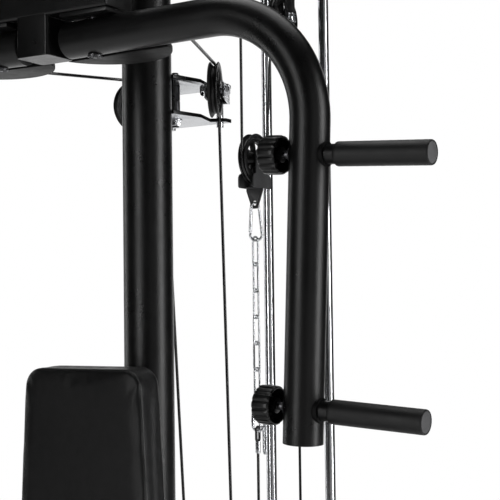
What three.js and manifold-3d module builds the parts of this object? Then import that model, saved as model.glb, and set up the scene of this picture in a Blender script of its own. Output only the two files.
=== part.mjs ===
// Multi station home gym: one round upright on a base beam, a hanging press and butterfly arm unit,
// a lat pulldown boom, a guided weight stack and a leg lever, joined by three cable systems.
// Millimetres, +Z up. Origin: underside of the base beam, on the axis of the upright.
// +X is the machine's right hand side seen by someone facing it, +Y runs back to the weight stack.
import * as THREE from 'three';
import { mergeVertices } from 'three/addons/utils/BufferGeometryUtils.js';
import Module from 'manifold-3d';

const wasm = await Module();
wasm.setup();

// ---- driving dimensions ----
const GAP = 0.3;
const UPRIGHT_R = 39, UPRIGHT_WALL = 3, UPRIGHT_TOP = 2040;
const BEAM = 60, BEAM_WALL = 2.5;
const BOOM_FRONT = -460, BOOM_REAR = 545;
const FOOT_FRONT_Y = [-580, -530], FOOT_REAR_Y = [463, 513];
const ARM_R = 25.4, ARM_WALL = 2.5, ARM_Z = 1625, ARM_LENGTH = 348, ARM_BEND_R = 140;
const ARM_PIVOT_X = 85.7, ARM_PIVOT_Y = -241, ARM_INNER = 45, ARM_DROP = 545;
const ARM_FORWARD = 2.4, PIPE_LEAN = 3.6, PIPE_BACK = 2.0;
const HANDLE_DROPS = { upper: 189, lower: 502 };
const PRESS_PIVOT_Y = -245.25, PRESS_PIVOT_Z = 1930;
const CROSS_HALF = 128.6, CROSS_FRONT = -274, CROSS_BACK = -217, CROSS_Z = [1657, 1717];
const POST_HALF = 28.75, POST_BOTTOM = 1602, POST_TOP = 1960;
const CAM_R = 92, CAM_OUT = 18.5, CAM_Z = [1602, 1610], CAM_FLAT = 24;
const PULLEY_R = 45, PULLEY_GROOVE_R = 38.4, PULLEY_W = 20, PULLEY_BORE = 6.3, AXLE_R = 5.7;
const CABLE_R = 2.5, WRAP_R = 42.3;
const ROD_X = 63, ROD_Y = 486, ROD_R = 9.75, STACK_Y = 484;
const PLATE = { w: 260, d: 110, t: 29.7 };
const LEVER_Y = -652, LEVER_Z = 455;
const LAT_Y = -400 - WRAP_R;

// ---- helpers ----
const rad = (d) => d * Math.PI / 180;
function solid(g) {
  let s = g.clone();
  s.deleteAttribute('normal');
  s.deleteAttribute('uv');
  s = mergeVertices(s, 1e-4);
  return new wasm.Manifold(new wasm.Mesh({
    numProp: 3,
    vertProperties: new Float32Array(s.attributes.position.array),
    triVerts: new Uint32Array(s.index.array),
  }));
}
function geometry(m) {
  const mesh = m.getMesh();
  const g = new THREE.BufferGeometry();
  g.setAttribute('position', new THREE.BufferAttribute(new Float32Array(mesh.vertProperties), 3));
  g.setIndex(new THREE.BufferAttribute(new Uint32Array(mesh.triVerts), 1));
  g.computeVertexNormals();
  return g;
}
const join = (list) => list.map(solid).reduce((a, b) => a.add(b));
const cut = (a, list) => list.reduce((m, g) => m.subtract(solid(g)), a);

function box(x0, x1, y0, y1, z0, z1) {
  const g = new THREE.BoxGeometry(x1 - x0, y1 - y0, z1 - z0);
  g.translate((x0 + x1) / 2, (y0 + y1) / 2, (z0 + z1) / 2);
  return g;
}
function cyl(axis, x, y, z, r, length, n = 20) {
  const g = new THREE.CylinderGeometry(r, r, length, n);
  if (axis === 'x') g.rotateZ(Math.PI / 2);
  if (axis === 'z') g.rotateX(Math.PI / 2);
  g.translate(x, y, z);
  return g;
}
function plate(outline, z0, z1) {
  const g = new THREE.ExtrudeGeometry(new THREE.Shape(outline.map(([x, y]) => new THREE.Vector2(x, y))), { depth: z1 - z0, bevelEnabled: false });
  g.translate(0, 0, z0);
  return g;
}
function circle(r, n) {
  const p = [];
  for (let i = 0; i < n; i++) p.push(new THREE.Vector2(r * Math.cos(2 * Math.PI * i / n), r * Math.sin(2 * Math.PI * i / n)));
  return p;
}
// a route through given stations, with one section at each of them
class Route extends THREE.Curve {
  constructor(points) { super(); this.p = points; }
  getPoint(t, target = new THREE.Vector3()) {
    const f = Math.min(Math.max(t, 0), 1) * (this.p.length - 1);
    const i = Math.min(Math.floor(f + 1e-9), this.p.length - 2);
    return target.lerpVectors(this.p[i], this.p[i + 1], f - i);
  }
  getPointAt(u, target) { return this.getPoint(u, target); }
  getTangent(t, target = new THREE.Vector3()) {
    const n = this.p.length - 1;
    const i = Math.round(t * n);
    const a = this.p[Math.max(i - 1, 0)], b = this.p[i], c = this.p[Math.min(i + 1, n)];
    const d1 = new THREE.Vector3().subVectors(b, a), d2 = new THREE.Vector3().subVectors(c, b);
    if (d1.length() > 0) d1.normalize();
    if (d2.length() > 0) d2.normalize();
    return target.addVectors(d1, d2).normalize();
  }
  getTangentAt(u, target) { return this.getTangent(u, target); }
}
function tube(points, r, n, bore = 0) {
  const section = new THREE.Shape(circle(r, n));
  if (bore) section.holes.push(new THREE.Path(circle(bore, n).reverse()));
  return new THREE.ExtrudeGeometry(section, { steps: points.length - 1, extrudePath: new Route(points) });
}
const V = (x, y, z) => new THREE.Vector3(x, y, z);
// corner of a bent tube: replaces the middle point with an arc
function bend(a, c, b, r, n) {
  const d1 = V(0, 0, 0).subVectors(a, c).normalize(), d2 = V(0, 0, 0).subVectors(b, c).normalize();
  const inside = d1.angleTo(d2), turn = Math.PI - inside;
  const t = r * Math.tan(turn / 2);
  const p0 = c.clone().addScaledVector(d1, t), p1 = c.clone().addScaledVector(d2, t);
  const mid = d1.clone().add(d2).normalize().multiplyScalar(r / Math.cos(turn / 2)).add(c);
  const n1 = V(0, 0, 0).subVectors(p0, mid), n2 = V(0, 0, 0).subVectors(p1, mid);
  const out = [];
  for (let i = 0; i <= n; i++) {
    const f = i / n;
    out.push(mid.clone().addScaledVector(n1, Math.sin((1 - f) * turn) / Math.sin(turn)).addScaledVector(n2, Math.sin(f * turn) / Math.sin(turn)));
  }
  return out;
}
// wrap of a cable round a pulley: e and z span the pulley's plane
function wrap(centre, e, a0, a1, n) {
  const out = [];
  for (let i = 0; i <= n; i++) {
    const a = rad(a0 + (a1 - a0) * i / n);
    out.push(centre.clone().addScaledVector(e, WRAP_R * Math.cos(a)).add(V(0, 0, WRAP_R * Math.sin(a))));
  }
  return out;
}

const paint = { color: 0x131313, roughness: 0.45, metalness: 0.3 };
const chromed = { color: 0xd6d6d6, roughness: 0.12, metalness: 1.0 };
const plastic = { color: 0x0d0d0e, roughness: 0.5, metalness: 0.0 };
const rubber = { color: 0x111112, roughness: 0.75, metalness: 0.0 };
const vinyl = { color: 0x0e0e0f, roughness: 0.55, metalness: 0.0 };
const iron = { color: 0x1b1b1c, roughness: 0.6, metalness: 0.4 };
const sheath = { color: 0x0a0a0a, roughness: 0.35, metalness: 0.0 };
const zinc = { color: 0xb9bcc0, roughness: 0.25, metalness: 1.0 };
const board = { color: 0x15130f, roughness: 0.85, metalness: 0.0 };

const gym = new THREE.Group();
gym.name = 'multi_station_home_gym';
function add(name, geo, finish, parent = gym) {
  const mesh = new THREE.Mesh(geo, new THREE.MeshStandardMaterial(finish));
  mesh.name = name;
  parent.add(mesh);
  return mesh;
}

// ---- base ----
const B = BEAM / 2, W = BEAM_WALL;
add('base_beam', geometry(cut(solid(box(-B, B, FOOT_FRONT_Y[1] + GAP, FOOT_REAR_Y[0] - GAP, 0, BEAM)),
  [box(-B + W, B - W, FOOT_FRONT_Y[1] - 5, FOOT_REAR_Y[0] + 5, W, BEAM - W)])), paint);
add('front_foot_bar', geometry(cut(solid(box(-230, 230, ...FOOT_FRONT_Y, 0, 50)),
  [box(-235, 235, FOOT_FRONT_Y[0] + W, FOOT_FRONT_Y[1] - W, W, 50 - W)])), paint);
add('rear_foot_bar', geometry(cut(solid(box(-330, 330, ...FOOT_REAR_Y, 0, BEAM)),
  [box(-335, 335, FOOT_REAR_Y[0] + W, FOOT_REAR_Y[1] - W, W, BEAM - W)])), paint);

// ---- upright, with slots for the lat cable and the low cable ----
{
  const z0 = BEAM + GAP;
  const shell = solid(cyl('z', 0, 0, (z0 + UPRIGHT_TOP) / 2, UPRIGHT_R, UPRIGHT_TOP - z0, 24));
  add('upright', geometry(cut(shell, [
    cyl('z', 0, 0, (z0 + UPRIGHT_TOP) / 2, UPRIGHT_R - UPRIGHT_WALL, UPRIGHT_TOP - z0 + 10, 24),
    box(-9, 9, -50, 50, 1978, 2006),
    box(-9, 9, -50, 50, z0 - 1, 84),
  ])), paint);
}

// ---- boom with its pulley plates, the press hanger and the guide rod plate ----
function cheeks(yc, half, z0, z1, inner = 13.3, t = 3) {
  return [box(inner, inner + t, yc - half, yc + half, z0, z1), box(-inner - t, -inner, yc - half, yc + half, z0, z1)];
}
function crossBolt(y, z, half = 21, headFrom = 16) {
  return [cyl('x', 0, y, z, AXLE_R, half * 2, 12), cyl('x', headFrom + 3, y, z, 9.5, 6, 6), cyl('x', -headFrom - 3, y, z, 9.5, 6, 6)];
}
const TOP_PULLEYS = { front: [-400, 1950], mid: [245, 1950], rear: [STACK_Y - WRAP_R, 1793] };
{
  const z0 = UPRIGHT_TOP + GAP, z1 = z0 + BEAM;
  let boom = cut(solid(box(-B, B, BOOM_FRONT, BOOM_REAR, z0, z1)), [box(-B + W, B - W, BOOM_FRONT - 5, BOOM_REAR + 5, z0 + W, z1 - W)]);
  const extra = [
    box(-95, 95, ROD_Y - 25, ROD_Y + 25, 2020, z0 + 1),
    ...cheeks(-400, 25, 1932, z0 + 1), ...crossBolt(...TOP_PULLEYS.front),
    ...cheeks(245, 25, 1932, z0 + 1), ...crossBolt(...TOP_PULLEYS.mid),
    ...cheeks(TOP_PULLEYS.rear[0], 18, 1775, z0 + 1), ...crossBolt(...TOP_PULLEYS.rear),
    box(29.4, 34.4, PRESS_PIVOT_Y - 28, PRESS_PIVOT_Y + 28, 1902, z0 + 5), box(-34.4, -29.4, PRESS_PIVOT_Y - 28, PRESS_PIVOT_Y + 28, 1902, z0 + 5),
    cyl('x', 0, PRESS_PIVOT_Y, PRESS_PIVOT_Z, 8, 84, 12),
  ];
  // the hanger plates stand on two shoes wider than the boom
  extra.push(box(25, 34.4, PRESS_PIVOT_Y - 28, PRESS_PIVOT_Y + 28, z0 - 4, z0 + 1), box(-34.4, -25, PRESS_PIVOT_Y - 28, PRESS_PIVOT_Y + 28, z0 - 4, z0 + 1));
  for (const g of extra) boom = boom.add(solid(g));
  // the inside of the tube stays open where the plates reach its wall
  boom = cut(boom, [box(-B + W, B - W, BOOM_FRONT - 5, BOOM_REAR + 5, z0 + W, z1 - W)]);
  add('top_boom', geometry(boom), paint);
}

// ---- seat frame: front post, seat beam, lever lugs, knee roller tube, low pulley fork ----
const LOW_FRONT = [-578, 110];
{
  const z0 = BEAM + GAP;
  let f = join([box(-B, B, -530, -470, z0, 432), box(-25, 25, -612, -UPRIGHT_R - GAP, 430, 480)]);
  f = f.add(solid(box(24, 29.5, -682, -580, 432, 505))).add(solid(box(-29.5, -24, -682, -580, 432, 505)));
  f = f.add(solid(cyl('x', 0, -640, 530, 12.5, 430, 12)));
  f = f.add(solid(box(24, 29.5, -660, -620, 500, 530))).add(solid(box(-29.5, -24, -660, -620, 500, 530)));
  f = f.add(solid(cyl('x', 0, LEVER_Y, LEVER_Z, 8, 76, 12)));
  for (const g of [...cheeks(-562, 33, 96, 124), ...crossBolt(...LOW_FRONT)]) f = f.add(solid(g));
  f = cut(f, [box(-9, 9, -540, -460, z0 - 1, 84)]);
  // the post is a tube, open where the low cable passes
  f = cut(f, [box(-B + W, B - W, -530 + W, -470 - W, z0 + W, 425)]);
  add('seat_frame', geometry(f), paint);
}

// ---- seat and backrest ----
function pad(w0, w1, h, t, r) {
  const s = new THREE.Shape();
  const q = [[-w0 / 2, 0], [w0 / 2, 0], [w1 / 2, h], [-w1 / 2, h]].map(([x, y]) => V(x, y, 0));
  let first = true;
  for (let i = 0; i < 4; i++) for (const p of bend(q[(i + 3) % 4], q[i], q[(i + 1) % 4], r, 4)) {
    if (first) s.moveTo(p.x, p.y); else s.lineTo(p.x, p.y);
    first = false;
  }
  return new THREE.ExtrudeGeometry(s, { depth: t, bevelEnabled: false });
}
{
  const g = pad(282, 212, 626, 51, 29);
  g.rotateX(Math.PI / 2);
  g.translate(0, -122, 540);
  add('backrest_pad', g, vinyl);
  const b = pad(240, 180, 590, 14, 20);
  b.rotateX(Math.PI / 2);
  b.translate(0, -107.7, 558);
  add('backrest_board', b, board);
  add('backrest_bracket', geometry(cut(solid(box(-25, 25, -107.4, -UPRIGHT_R - GAP, 620, 1060)), [box(-22.5, 22.5, -104.9, -UPRIGHT_R - 2.5, 610, 1070)])), paint);
  const sb = pad(300, 240, 350, 14, 25);
  sb.rotateZ(Math.PI);
  sb.translate(0, -196, 480.3);
  add('seat_board', sb, board);
  const sp = pad(330, 265, 385, 54, 32);
  sp.rotateZ(Math.PI);
  sp.translate(0, -178, 494.6);
  add('seat_pad', sp, vinyl);
}

// ---- guide rods and weight stack ----
for (const [side, s] of [['right', 1], ['left', -1]])
  add(`guide_rod_${side}`, cyl('z', s * ROD_X, ROD_Y, (BEAM + GAP + 2019.7) / 2, ROD_R, 2019.7 - BEAM - GAP, 12), chromed);
function plateSolid(z0, t, pinZ, groove = 0) {
  let m = solid(box(-PLATE.w / 2, PLATE.w / 2, STACK_Y - PLATE.d / 2, STACK_Y + PLATE.d / 2, z0, z0 + t));
  const holes = [cyl('z', ROD_X, ROD_Y, z0 + t / 2, 11.5, t + 10, 10), cyl('z', -ROD_X, ROD_Y, z0 + t / 2, 11.5, t + 10, 10), cyl('z', 0, STACK_Y, z0 + t / 2, 11.5, t + 10, 10)];
  for (const z of pinZ) holes.push(cyl('y', 0, STACK_Y + 30, z, 5.2, 62, 10));
  for (let i = 1; i <= groove; i++) {
    const zg = z0 + i * 30 - 0.6;
    for (const [x0, x1, y0, y1] of [[-140, 140, STACK_Y - 60, STACK_Y - 52], [-140, 140, STACK_Y + 52, STACK_Y + 60], [-140, -127, STACK_Y - 60, STACK_Y + 60], [127, 140, STACK_Y - 60, STACK_Y + 60]]) holes.push(box(x0, x1, y0, y1, zg, zg + 1.5));
  }
  return geometry(cut(m, holes));
}
const STACK_BOTTOM = BEAM + GAP, LOWER = 7;
add('lower_plates', plateSolid(STACK_BOTTOM, LOWER * 30 - GAP, [], LOWER - 1), iron);
for (let i = 3; i >= 1; i--) {
  const z0 = STACK_BOTTOM + (LOWER + 3 - i) * 30;
  add(`weight_plate_${i}`, plateSolid(z0, PLATE.t, [z0 + 15]), iron);
}
const HEAD_Z = STACK_BOTTOM + (LOWER + 3) * 30, PIN_Z = STACK_BOTTOM + LOWER * 30 + 15;
{
  let h = solid(box(-PLATE.w / 2, PLATE.w / 2, STACK_Y - PLATE.d / 2, STACK_Y + PLATE.d / 2, HEAD_Z, HEAD_Z + 28));
  h = h.add(solid(cyl('z', ROD_X, ROD_Y, HEAD_Z + 35, 17, 22, 12))).add(solid(cyl('z', -ROD_X, ROD_Y, HEAD_Z + 35, 17, 22, 12)));
  h = h.add(solid(cyl('z', 0, STACK_Y, HEAD_Z + 35, 14, 22, 6)));
  h = cut(h, [cyl('z', ROD_X, ROD_Y, HEAD_Z + 20, 10.6, 80, 12), cyl('z', -ROD_X, ROD_Y, HEAD_Z + 20, 10.6, 80, 12)]);
  add('head_plate', geometry(h), iron);
  const stem = cut(solid(cyl('z', 0, STACK_Y, (66 + HEAD_Z - GAP) / 2, 10.5, HEAD_Z - GAP - 66, 12)), [cyl('y', 0, STACK_Y, PIN_Z, 5.2, 60, 10)]);
  add('selector_stem', geometry(stem), chromed);
  const pin = [[0, -10], [4.5, -10], [4.5, 56], [13, 56.3], [13, 84], [9, 90], [0, 90]].map(([x, y]) => new THREE.Vector2(x, y));
  const m = add('selector_pin', new THREE.LatheGeometry(pin, 12), chromed);
  m.position.set(0, STACK_Y, PIN_Z);
}

// ---- pulleys ----
function pulleyGeometry() {
  const w = PULLEY_W / 2;
  const pts = [[PULLEY_BORE, -w], [PULLEY_R, -w * 0.7], [PULLEY_GROOVE_R, -2.9], [PULLEY_GROOVE_R, 2.9], [PULLEY_R, w * 0.7], [PULLEY_BORE, w], [PULLEY_BORE, -w]];
  return new THREE.LatheGeometry(pts.map(([x, y]) => new THREE.Vector2(x, y)), 16);
}
// yaw turns the wheel's plane about Z: 0 leaves the axle along X
function pulley(name, x, y, z, yaw = 0) {
  const m = add(name, pulleyGeometry(), plastic);
  m.rotation.set(0, 0, yaw - Math.PI / 2);
  m.position.set(x, y, z);
  return m;
}
const FLOAT_Y = TOP_PULLEYS.mid[0] + 2 * WRAP_R, FLOAT_Z = 1517;
const BLOCK_Y = 181, BLOCK_UP = 575, BLOCK_LOW = 470;
const BASE_REAR_Y = FLOAT_Y - WRAP_R, BASE_MID_Y = BLOCK_Y - 2 * WRAP_R, BASE_PULLEY_Z = 110;
pulley('top_front_pulley', 0, ...TOP_PULLEYS.front);
pulley('top_mid_pulley', 0, ...TOP_PULLEYS.mid);
pulley('top_rear_pulley', 0, ...TOP_PULLEYS.rear);
pulley('floating_pulley', 0, FLOAT_Y, FLOAT_Z);
pulley('block_upper_pulley', 0, BLOCK_Y, BLOCK_UP, Math.PI / 2);
pulley('block_lower_pulley', 0, BLOCK_Y, BLOCK_LOW);
pulley('base_rear_pulley', 0, BASE_REAR_Y, BASE_PULLEY_Z);
pulley('base_mid_pulley', 0, BASE_MID_Y, BASE_PULLEY_Z);
pulley('low_front_pulley', 0, ...LOW_FRONT);

// swivelling pulleys that turn the butterfly cable down behind the upright
const SWIVEL = {
  right: { c: V(66, 97, 1602), e: V(146, -309, 0).normalize() },
  left: { c: V(-74, 83.4, 1586), e: V(-0.5, -Math.sqrt(0.75), 0) },
};
function oriented(g, s) {
  g.rotateZ(Math.atan2(s.e.y, s.e.x));
  g.translate(s.c.x, s.c.y, s.c.z);
  return g;
}
for (const side of ['right', 'left']) {
  const s = SWIVEL[side];
  pulley(`swivel_pulley_${side}`, s.c.x, s.c.y, s.c.z, Math.atan2(s.e.y, s.e.x) + Math.PI / 2);
  const zp = (z) => z - s.c.z;
  const parts = [
    box(-62, 16, 13.3, 16.3, -14, 10), box(-62, 16, -16.3, -13.3, -14, 10), box(-62, -56, -16.3, 16.3, -14, 10),
    cyl('z', -59, 0, (zp(1628) + zp(1549)) / 2, 6, 79, 12),
    cyl('y', 0, 0, 0, AXLE_R, 42, 12), cyl('y', 0, 19, 0, 9.5, 6, 6), cyl('y', 0, -19, 0, 9.5, 6, 6),
  ];
  add(`swivel_fork_${side}`, geometry(join(parts.map((g) => oriented(g, s)))), zinc);
}
{
  const outline = [[-34.5, 24], [-47.5, 88], [-56, 120], [-56, 162], [56, 162], [56, 120], [47.5, 88], [34.5, 24]];
  let p = join([plate(outline, 1614, 1620), plate(outline, 1557, 1563),
    box(-24, 24, UPRIGHT_R + GAP, UPRIGHT_R + GAP + 5, 1557, 1620), cyl('z', 0, 79, 1588.5, 5.5, 90, 12)]);
  p = cut(p, ['right', 'left'].flatMap((side) => {
    const s = SWIVEL[side];
    return [oriented(plate([[-47.5, 14.2], [80, 36.7], [80, -36.7], [-47.5, -14.2]], -49, 49), s), oriented(cyl('z', -59, 0, 0, 6.6, 160, 12), s)];
  }).concat([cyl('z', 0, 0, 1588, UPRIGHT_R + GAP, 90, 32)]));
  add('swivel_bracket', geometry(p), paint);
}

// ---- pulley brackets that are not part of the frame ----
{
  let p = join([...cheeks((BASE_REAR_Y + BASE_MID_Y) / 2, 118, 90, 122), ...cheeks((BASE_REAR_Y + BASE_MID_Y) / 2, 22, BEAM + GAP, 95),
    box(-16.3, 16.3, (BASE_REAR_Y + BASE_MID_Y) / 2 - 22, (BASE_REAR_Y + BASE_MID_Y) / 2 + 22, BEAM + GAP, BEAM + GAP + 2),
    ...crossBolt(BASE_REAR_Y, BASE_PULLEY_Z), ...crossBolt(BASE_MID_Y, BASE_PULLEY_Z)]);
  add('base_pulley_bracket', geometry(p), paint);
  // cheeks drawn in y and z, the hanging tab in x and z
  const cheek = [[-31, 1463], [31, 1463], [31, 1487], [19, 1522], [13, 1532], [0, 1536], [-13, 1532], [-19, 1522], [-31, 1487]];
  const wall = (x0, x1) => { const g = plate(cheek, x0, x1); g.applyMatrix4(new THREE.Matrix4().set(0, 0, 1, 0, 1, 0, 0, FLOAT_Y, 0, 1, 0, 0, 0, 0, 0, 1)); return g; };
  const tab = plate([[-17, 1465], [-17, 1459], [-6, 1427], [6, 1427], [17, 1459], [17, 1465]], -1.5, 1.5);
  tab.applyMatrix4(new THREE.Matrix4().set(1, 0, 0, 0, 0, 0, -1, FLOAT_Y, 0, 1, 0, 0, 0, 0, 0, 1));
  p = join([wall(13.3, 16.3), wall(-16.3, -13.3), box(-16.3, 16.3, FLOAT_Y - 12, FLOAT_Y + 12, 1463, 1466), tab, ...crossBolt(FLOAT_Y, FLOAT_Z)]);
  p = cut(p, [cyl('y', 0, FLOAT_Y, 1437, 4.5, 20, 10)]);
  add('floating_bracket', geometry(p), zinc);
  p = join([box(-14, 14, BLOCK_Y + 13.3, BLOCK_Y + 16.3, 519, 590), box(-14, 14, BLOCK_Y - 16.3, BLOCK_Y - 13.3, 519, 590),
    cyl('y', 0, BLOCK_Y, BLOCK_UP, AXLE_R, 42, 12), cyl('y', 0, BLOCK_Y + 19, BLOCK_UP, 9.5, 6, 6), cyl('y', 0, BLOCK_Y - 19, BLOCK_UP, 9.5, 6, 6),
    ...cheeks(BLOCK_Y, 14, 455, 525), ...crossBolt(BLOCK_Y, BLOCK_LOW), box(-16.3, 16.3, BLOCK_Y - 16.3, BLOCK_Y + 16.3, 519, 526)]);
  add('pulley_block', geometry(p), zinc);
  add('chain', box(-4, 4, FLOAT_Y - 7, FLOAT_Y + 7, 985, 1423.7), zinc);
}

// ---- cables, each along its route ----
const Y = V(0, 1, 0), X = V(1, 0, 0);
add('lat_cable', tube([V(0, LAT_Y, 1905), ...wrap(V(0, -400, 1950), Y, 180, 90, 4), ...wrap(V(0, 245, 1950), Y, 90, 0, 4),
  ...wrap(V(0, FLOAT_Y, FLOAT_Z), Y, 180, 360, 8), ...wrap(V(0, ...TOP_PULLEYS.rear), Y, 180, 0, 8), V(0, STACK_Y, HEAD_Z + 46.3)], CABLE_R, 8), sheath);
add('low_cable', tube([V(0, FLOAT_Y, 984.7), ...wrap(V(0, BASE_REAR_Y, BASE_PULLEY_Z), Y, 0, -180, 8), ...wrap(V(0, BLOCK_Y, BLOCK_LOW), Y, 0, 180, 8),
  ...wrap(V(0, BASE_MID_Y, BASE_PULLEY_Z), Y, 0, -90, 4), V(0, LOW_FRONT[0], BASE_PULLEY_Z - WRAP_R), V(0, -640, BASE_PULLEY_Z - WRAP_R)], CABLE_R, 8), sheath);
{
  const R = SWIVEL.right, L = SWIVEL.left;
  add('butterfly_cable', tube([
    V(212, -214, 1625), ...wrap(R.c, R.e, 90, 180, 4), ...wrap(V(0, BLOCK_Y, BLOCK_UP), X, 0, -180, 8), ...wrap(L.c, L.e, 180, 90, 4), V(-212, -214, 1625),
  ], CABLE_R, 8), sheath);
}

// ---- press carrier with its two arm pivot bolts ----
{
  let c = join([box(-POST_HALF, POST_HALF, CROSS_FRONT, CROSS_FRONT + 2 * POST_HALF, POST_BOTTOM, POST_TOP), box(-CROSS_HALF, CROSS_HALF, CROSS_FRONT, CROSS_BACK, ...CROSS_Z)]);
  c = cut(c, [box(-POST_HALF + 3, POST_HALF - 3, CROSS_FRONT + 3, CROSS_FRONT + 2 * POST_HALF - 3, POST_BOTTOM + 3, POST_TOP + 10),
    box(-CROSS_HALF - 10, CROSS_HALF + 10, CROSS_FRONT + 3, CROSS_BACK - 3, CROSS_Z[0] + 3, CROSS_Z[1] - 3),
    cyl('x', 0, PRESS_PIVOT_Y, PRESS_PIVOT_Z, 8.4, 100, 12)]);
  for (const s of [1, -1]) {
    c = c.add(solid(cyl('z', s * ARM_PIVOT_X, ARM_PIVOT_Y, 1638, 8, 84, 12)));
    c = c.add(solid(cyl('z', s * ARM_PIVOT_X, ARM_PIVOT_Y, 1654.5, 15, 6, 12)));
    c = c.add(solid(cyl('z', s * ARM_PIVOT_X, ARM_PIVOT_Y, 1597.2, 10.5, 3.8, 12)));
  }
  add('press_carrier', geometry(c), paint);
}

// ---- arms: local x runs outward, y back, z up; s is +1 on the right ----
const KNOB_LOBES = 10;
for (const [side, s] of [['right', 1], ['left', -1]]) {
  const arm = new THREE.Group();
  arm.position.set(s * ARM_PIVOT_X, ARM_PIVOT_Y, 0);
  arm.rotation.z = -s * rad(ARM_FORWARD);
  gym.add(arm);
  const lean = rad(PIPE_LEAN), back = rad(PIPE_BACK);
  const down = V(-s * Math.sin(lean), Math.sin(back), -Math.cos(lean) * Math.cos(back)).normalize();
  const corner = V(s * ARM_LENGTH, 0, ARM_Z);
  const end = corner.clone().addScaledVector(down, ARM_DROP);
  const start = V(-s * ARM_INNER, 0, ARM_Z);
  let body = solid(tube([start, ...bend(start, corner, end, ARM_BEND_R, 8), end], ARM_R, 16, ARM_R - ARM_WALL));
  body = cut(body, [cyl('z', 0, 0, ARM_Z, 8.4, 80, 12)]);
  // closed foot of the pipe
  const foot = cyl('y', 0, 0, 0, ARM_R - ARM_WALL + 0.5, 3, 16);
  const turn = new THREE.Quaternion().setFromUnitVectors(V(0, 1, 0), down);
  foot.applyQuaternion(turn);
  foot.translate(...end.clone().addScaledVector(down, -6).toArray());
  body = body.add(solid(foot));
  add(`arm_${side}`, geometry(body), paint, arm);
  add(`cam_${side}`, geometry(cut(solid(cyl('z', s * CAM_OUT, 0, (CAM_Z[0] + CAM_Z[1]) / 2, CAM_R, CAM_Z[1] - CAM_Z[0], 28)), [box(-140, 140, -120, CAM_FLAT, 1590, 1620)])), paint, arm);
  const out = V(s * Math.cos(lean), 0, -Math.sin(lean)).normalize();
  for (const [level, drop] of Object.entries(HANDLE_DROPS)) {
    const at = corner.clone().addScaledVector(down, drop);
    const h = [[0, 26.2], [12.5, 26.2], [12.5, 40], [15.25, 40], [15.25, 163.5], [13.2, 166], [0, 166]].map(([x, y]) => new THREE.Vector2(x, y));
    const handle = add(`handle_${level}_${side}`, new THREE.LatheGeometry(h, 14), rubber, arm);
    handle.quaternion.setFromUnitVectors(V(0, 1, 0), out);
    handle.position.copy(at);
    const k = [];
    for (let i = 0; i < KNOB_LOBES * 2; i++) {
      const a = 2 * Math.PI * i / (KNOB_LOBES * 2);
      const r = [24.8, 22.4][i % 2];
      k.push(new THREE.Vector2(r * Math.cos(a), r * Math.sin(a)));
    }
    const head = new THREE.ExtrudeGeometry(new THREE.Shape(k), { depth: 28, bevelEnabled: false });
    head.rotateX(-Math.PI / 2);
    head.translate(0, 37, 0);
    const knob = add(`knob_${level}_${side}`, geometry(join([head, cyl('y', 0, 33, 0, 6, 13.2, 12)])), plastic, arm);
    knob.quaternion.setFromUnitVectors(V(0, 1, 0), out.clone().negate());
    knob.position.copy(at);
  }
}

// ---- lat bar ----
{
  const z = 1850;
  const p = [V(-540, LAT_Y, z - 95), ...bend(V(-540, LAT_Y, z - 95), V(-330, LAT_Y, z), V(0, LAT_Y, z), 70, 3),
    ...bend(V(0, LAT_Y, z), V(330, LAT_Y, z), V(540, LAT_Y, z - 95), 70, 3), V(540, LAT_Y, z - 95)];
  let b = solid(tube(p, 12.5, 12));
  b = b.add(solid(box(-4, 4, LAT_Y - 11, LAT_Y + 11, z, z + 54)));
  b = cut(b, [cyl('x', 0, LAT_Y, z + 38, 6, 30, 12)]);
  add('lat_bar', geometry(b), chromed);
}

// ---- leg lever ----
{
  let l = solid(box(-22, 22, LEVER_Y - 25, LEVER_Y + 25, 112, LEVER_Z + 24));
  l = cut(l, [box(-19.5, 19.5, LEVER_Y - 22.5, LEVER_Y + 22.5, 105, LEVER_Z + 21), cyl('x', 0, LEVER_Y, LEVER_Z, 8.4, 80, 12)]);
  l = l.add(solid(cyl('x', 0, LEVER_Y, 150, 12.5, 430, 12)));
  add('leg_lever', geometry(l), paint);
}
const roller = [[13, 0], [44, 0], [47, 4], [47, 151], [44, 155], [13, 155], [13, 0]].map(([x, y]) => new THREE.Vector2(x, y));
for (const [name, y, z] of [['knee', -640, 530], ['ankle', LEVER_Y, 150]])
  for (const [side, s] of [['right', 1], ['left', -1]]) {
    const m = add(`${name}_roller_${side}`, new THREE.LatheGeometry(roller, 16), rubber);
    m.rotation.z = -s * Math.PI / 2;
    m.position.set(s * 50, y, z);
  }

export default gym;
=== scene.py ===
import math, random
import bpy, bmesh
import numpy as np
from mathutils import Matrix, Vector, Quaternion
from mathutils.bvhtree import BVHTree


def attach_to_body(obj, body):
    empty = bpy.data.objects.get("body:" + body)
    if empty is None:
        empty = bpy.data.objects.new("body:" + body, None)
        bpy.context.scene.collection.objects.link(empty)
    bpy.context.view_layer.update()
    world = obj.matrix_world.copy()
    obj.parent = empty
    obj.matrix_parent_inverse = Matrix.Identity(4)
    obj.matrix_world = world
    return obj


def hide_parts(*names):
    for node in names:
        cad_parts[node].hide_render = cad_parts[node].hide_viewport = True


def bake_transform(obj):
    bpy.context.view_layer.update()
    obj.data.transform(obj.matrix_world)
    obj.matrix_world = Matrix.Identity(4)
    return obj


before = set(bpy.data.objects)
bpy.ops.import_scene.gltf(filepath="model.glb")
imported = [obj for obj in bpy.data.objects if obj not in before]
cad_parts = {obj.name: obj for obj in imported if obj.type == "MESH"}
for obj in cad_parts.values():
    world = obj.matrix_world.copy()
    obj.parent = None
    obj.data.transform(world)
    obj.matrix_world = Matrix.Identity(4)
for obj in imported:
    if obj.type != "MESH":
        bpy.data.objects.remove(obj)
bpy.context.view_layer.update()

MM = 0.001
V = Vector

# ------------------------------------------------------------------ materials
def new_mat(name):
    m = bpy.data.materials.new(name); m.use_nodes = True
    nt = m.node_tree
    return m, nt, nt.nodes["Principled BSDF"]

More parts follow.
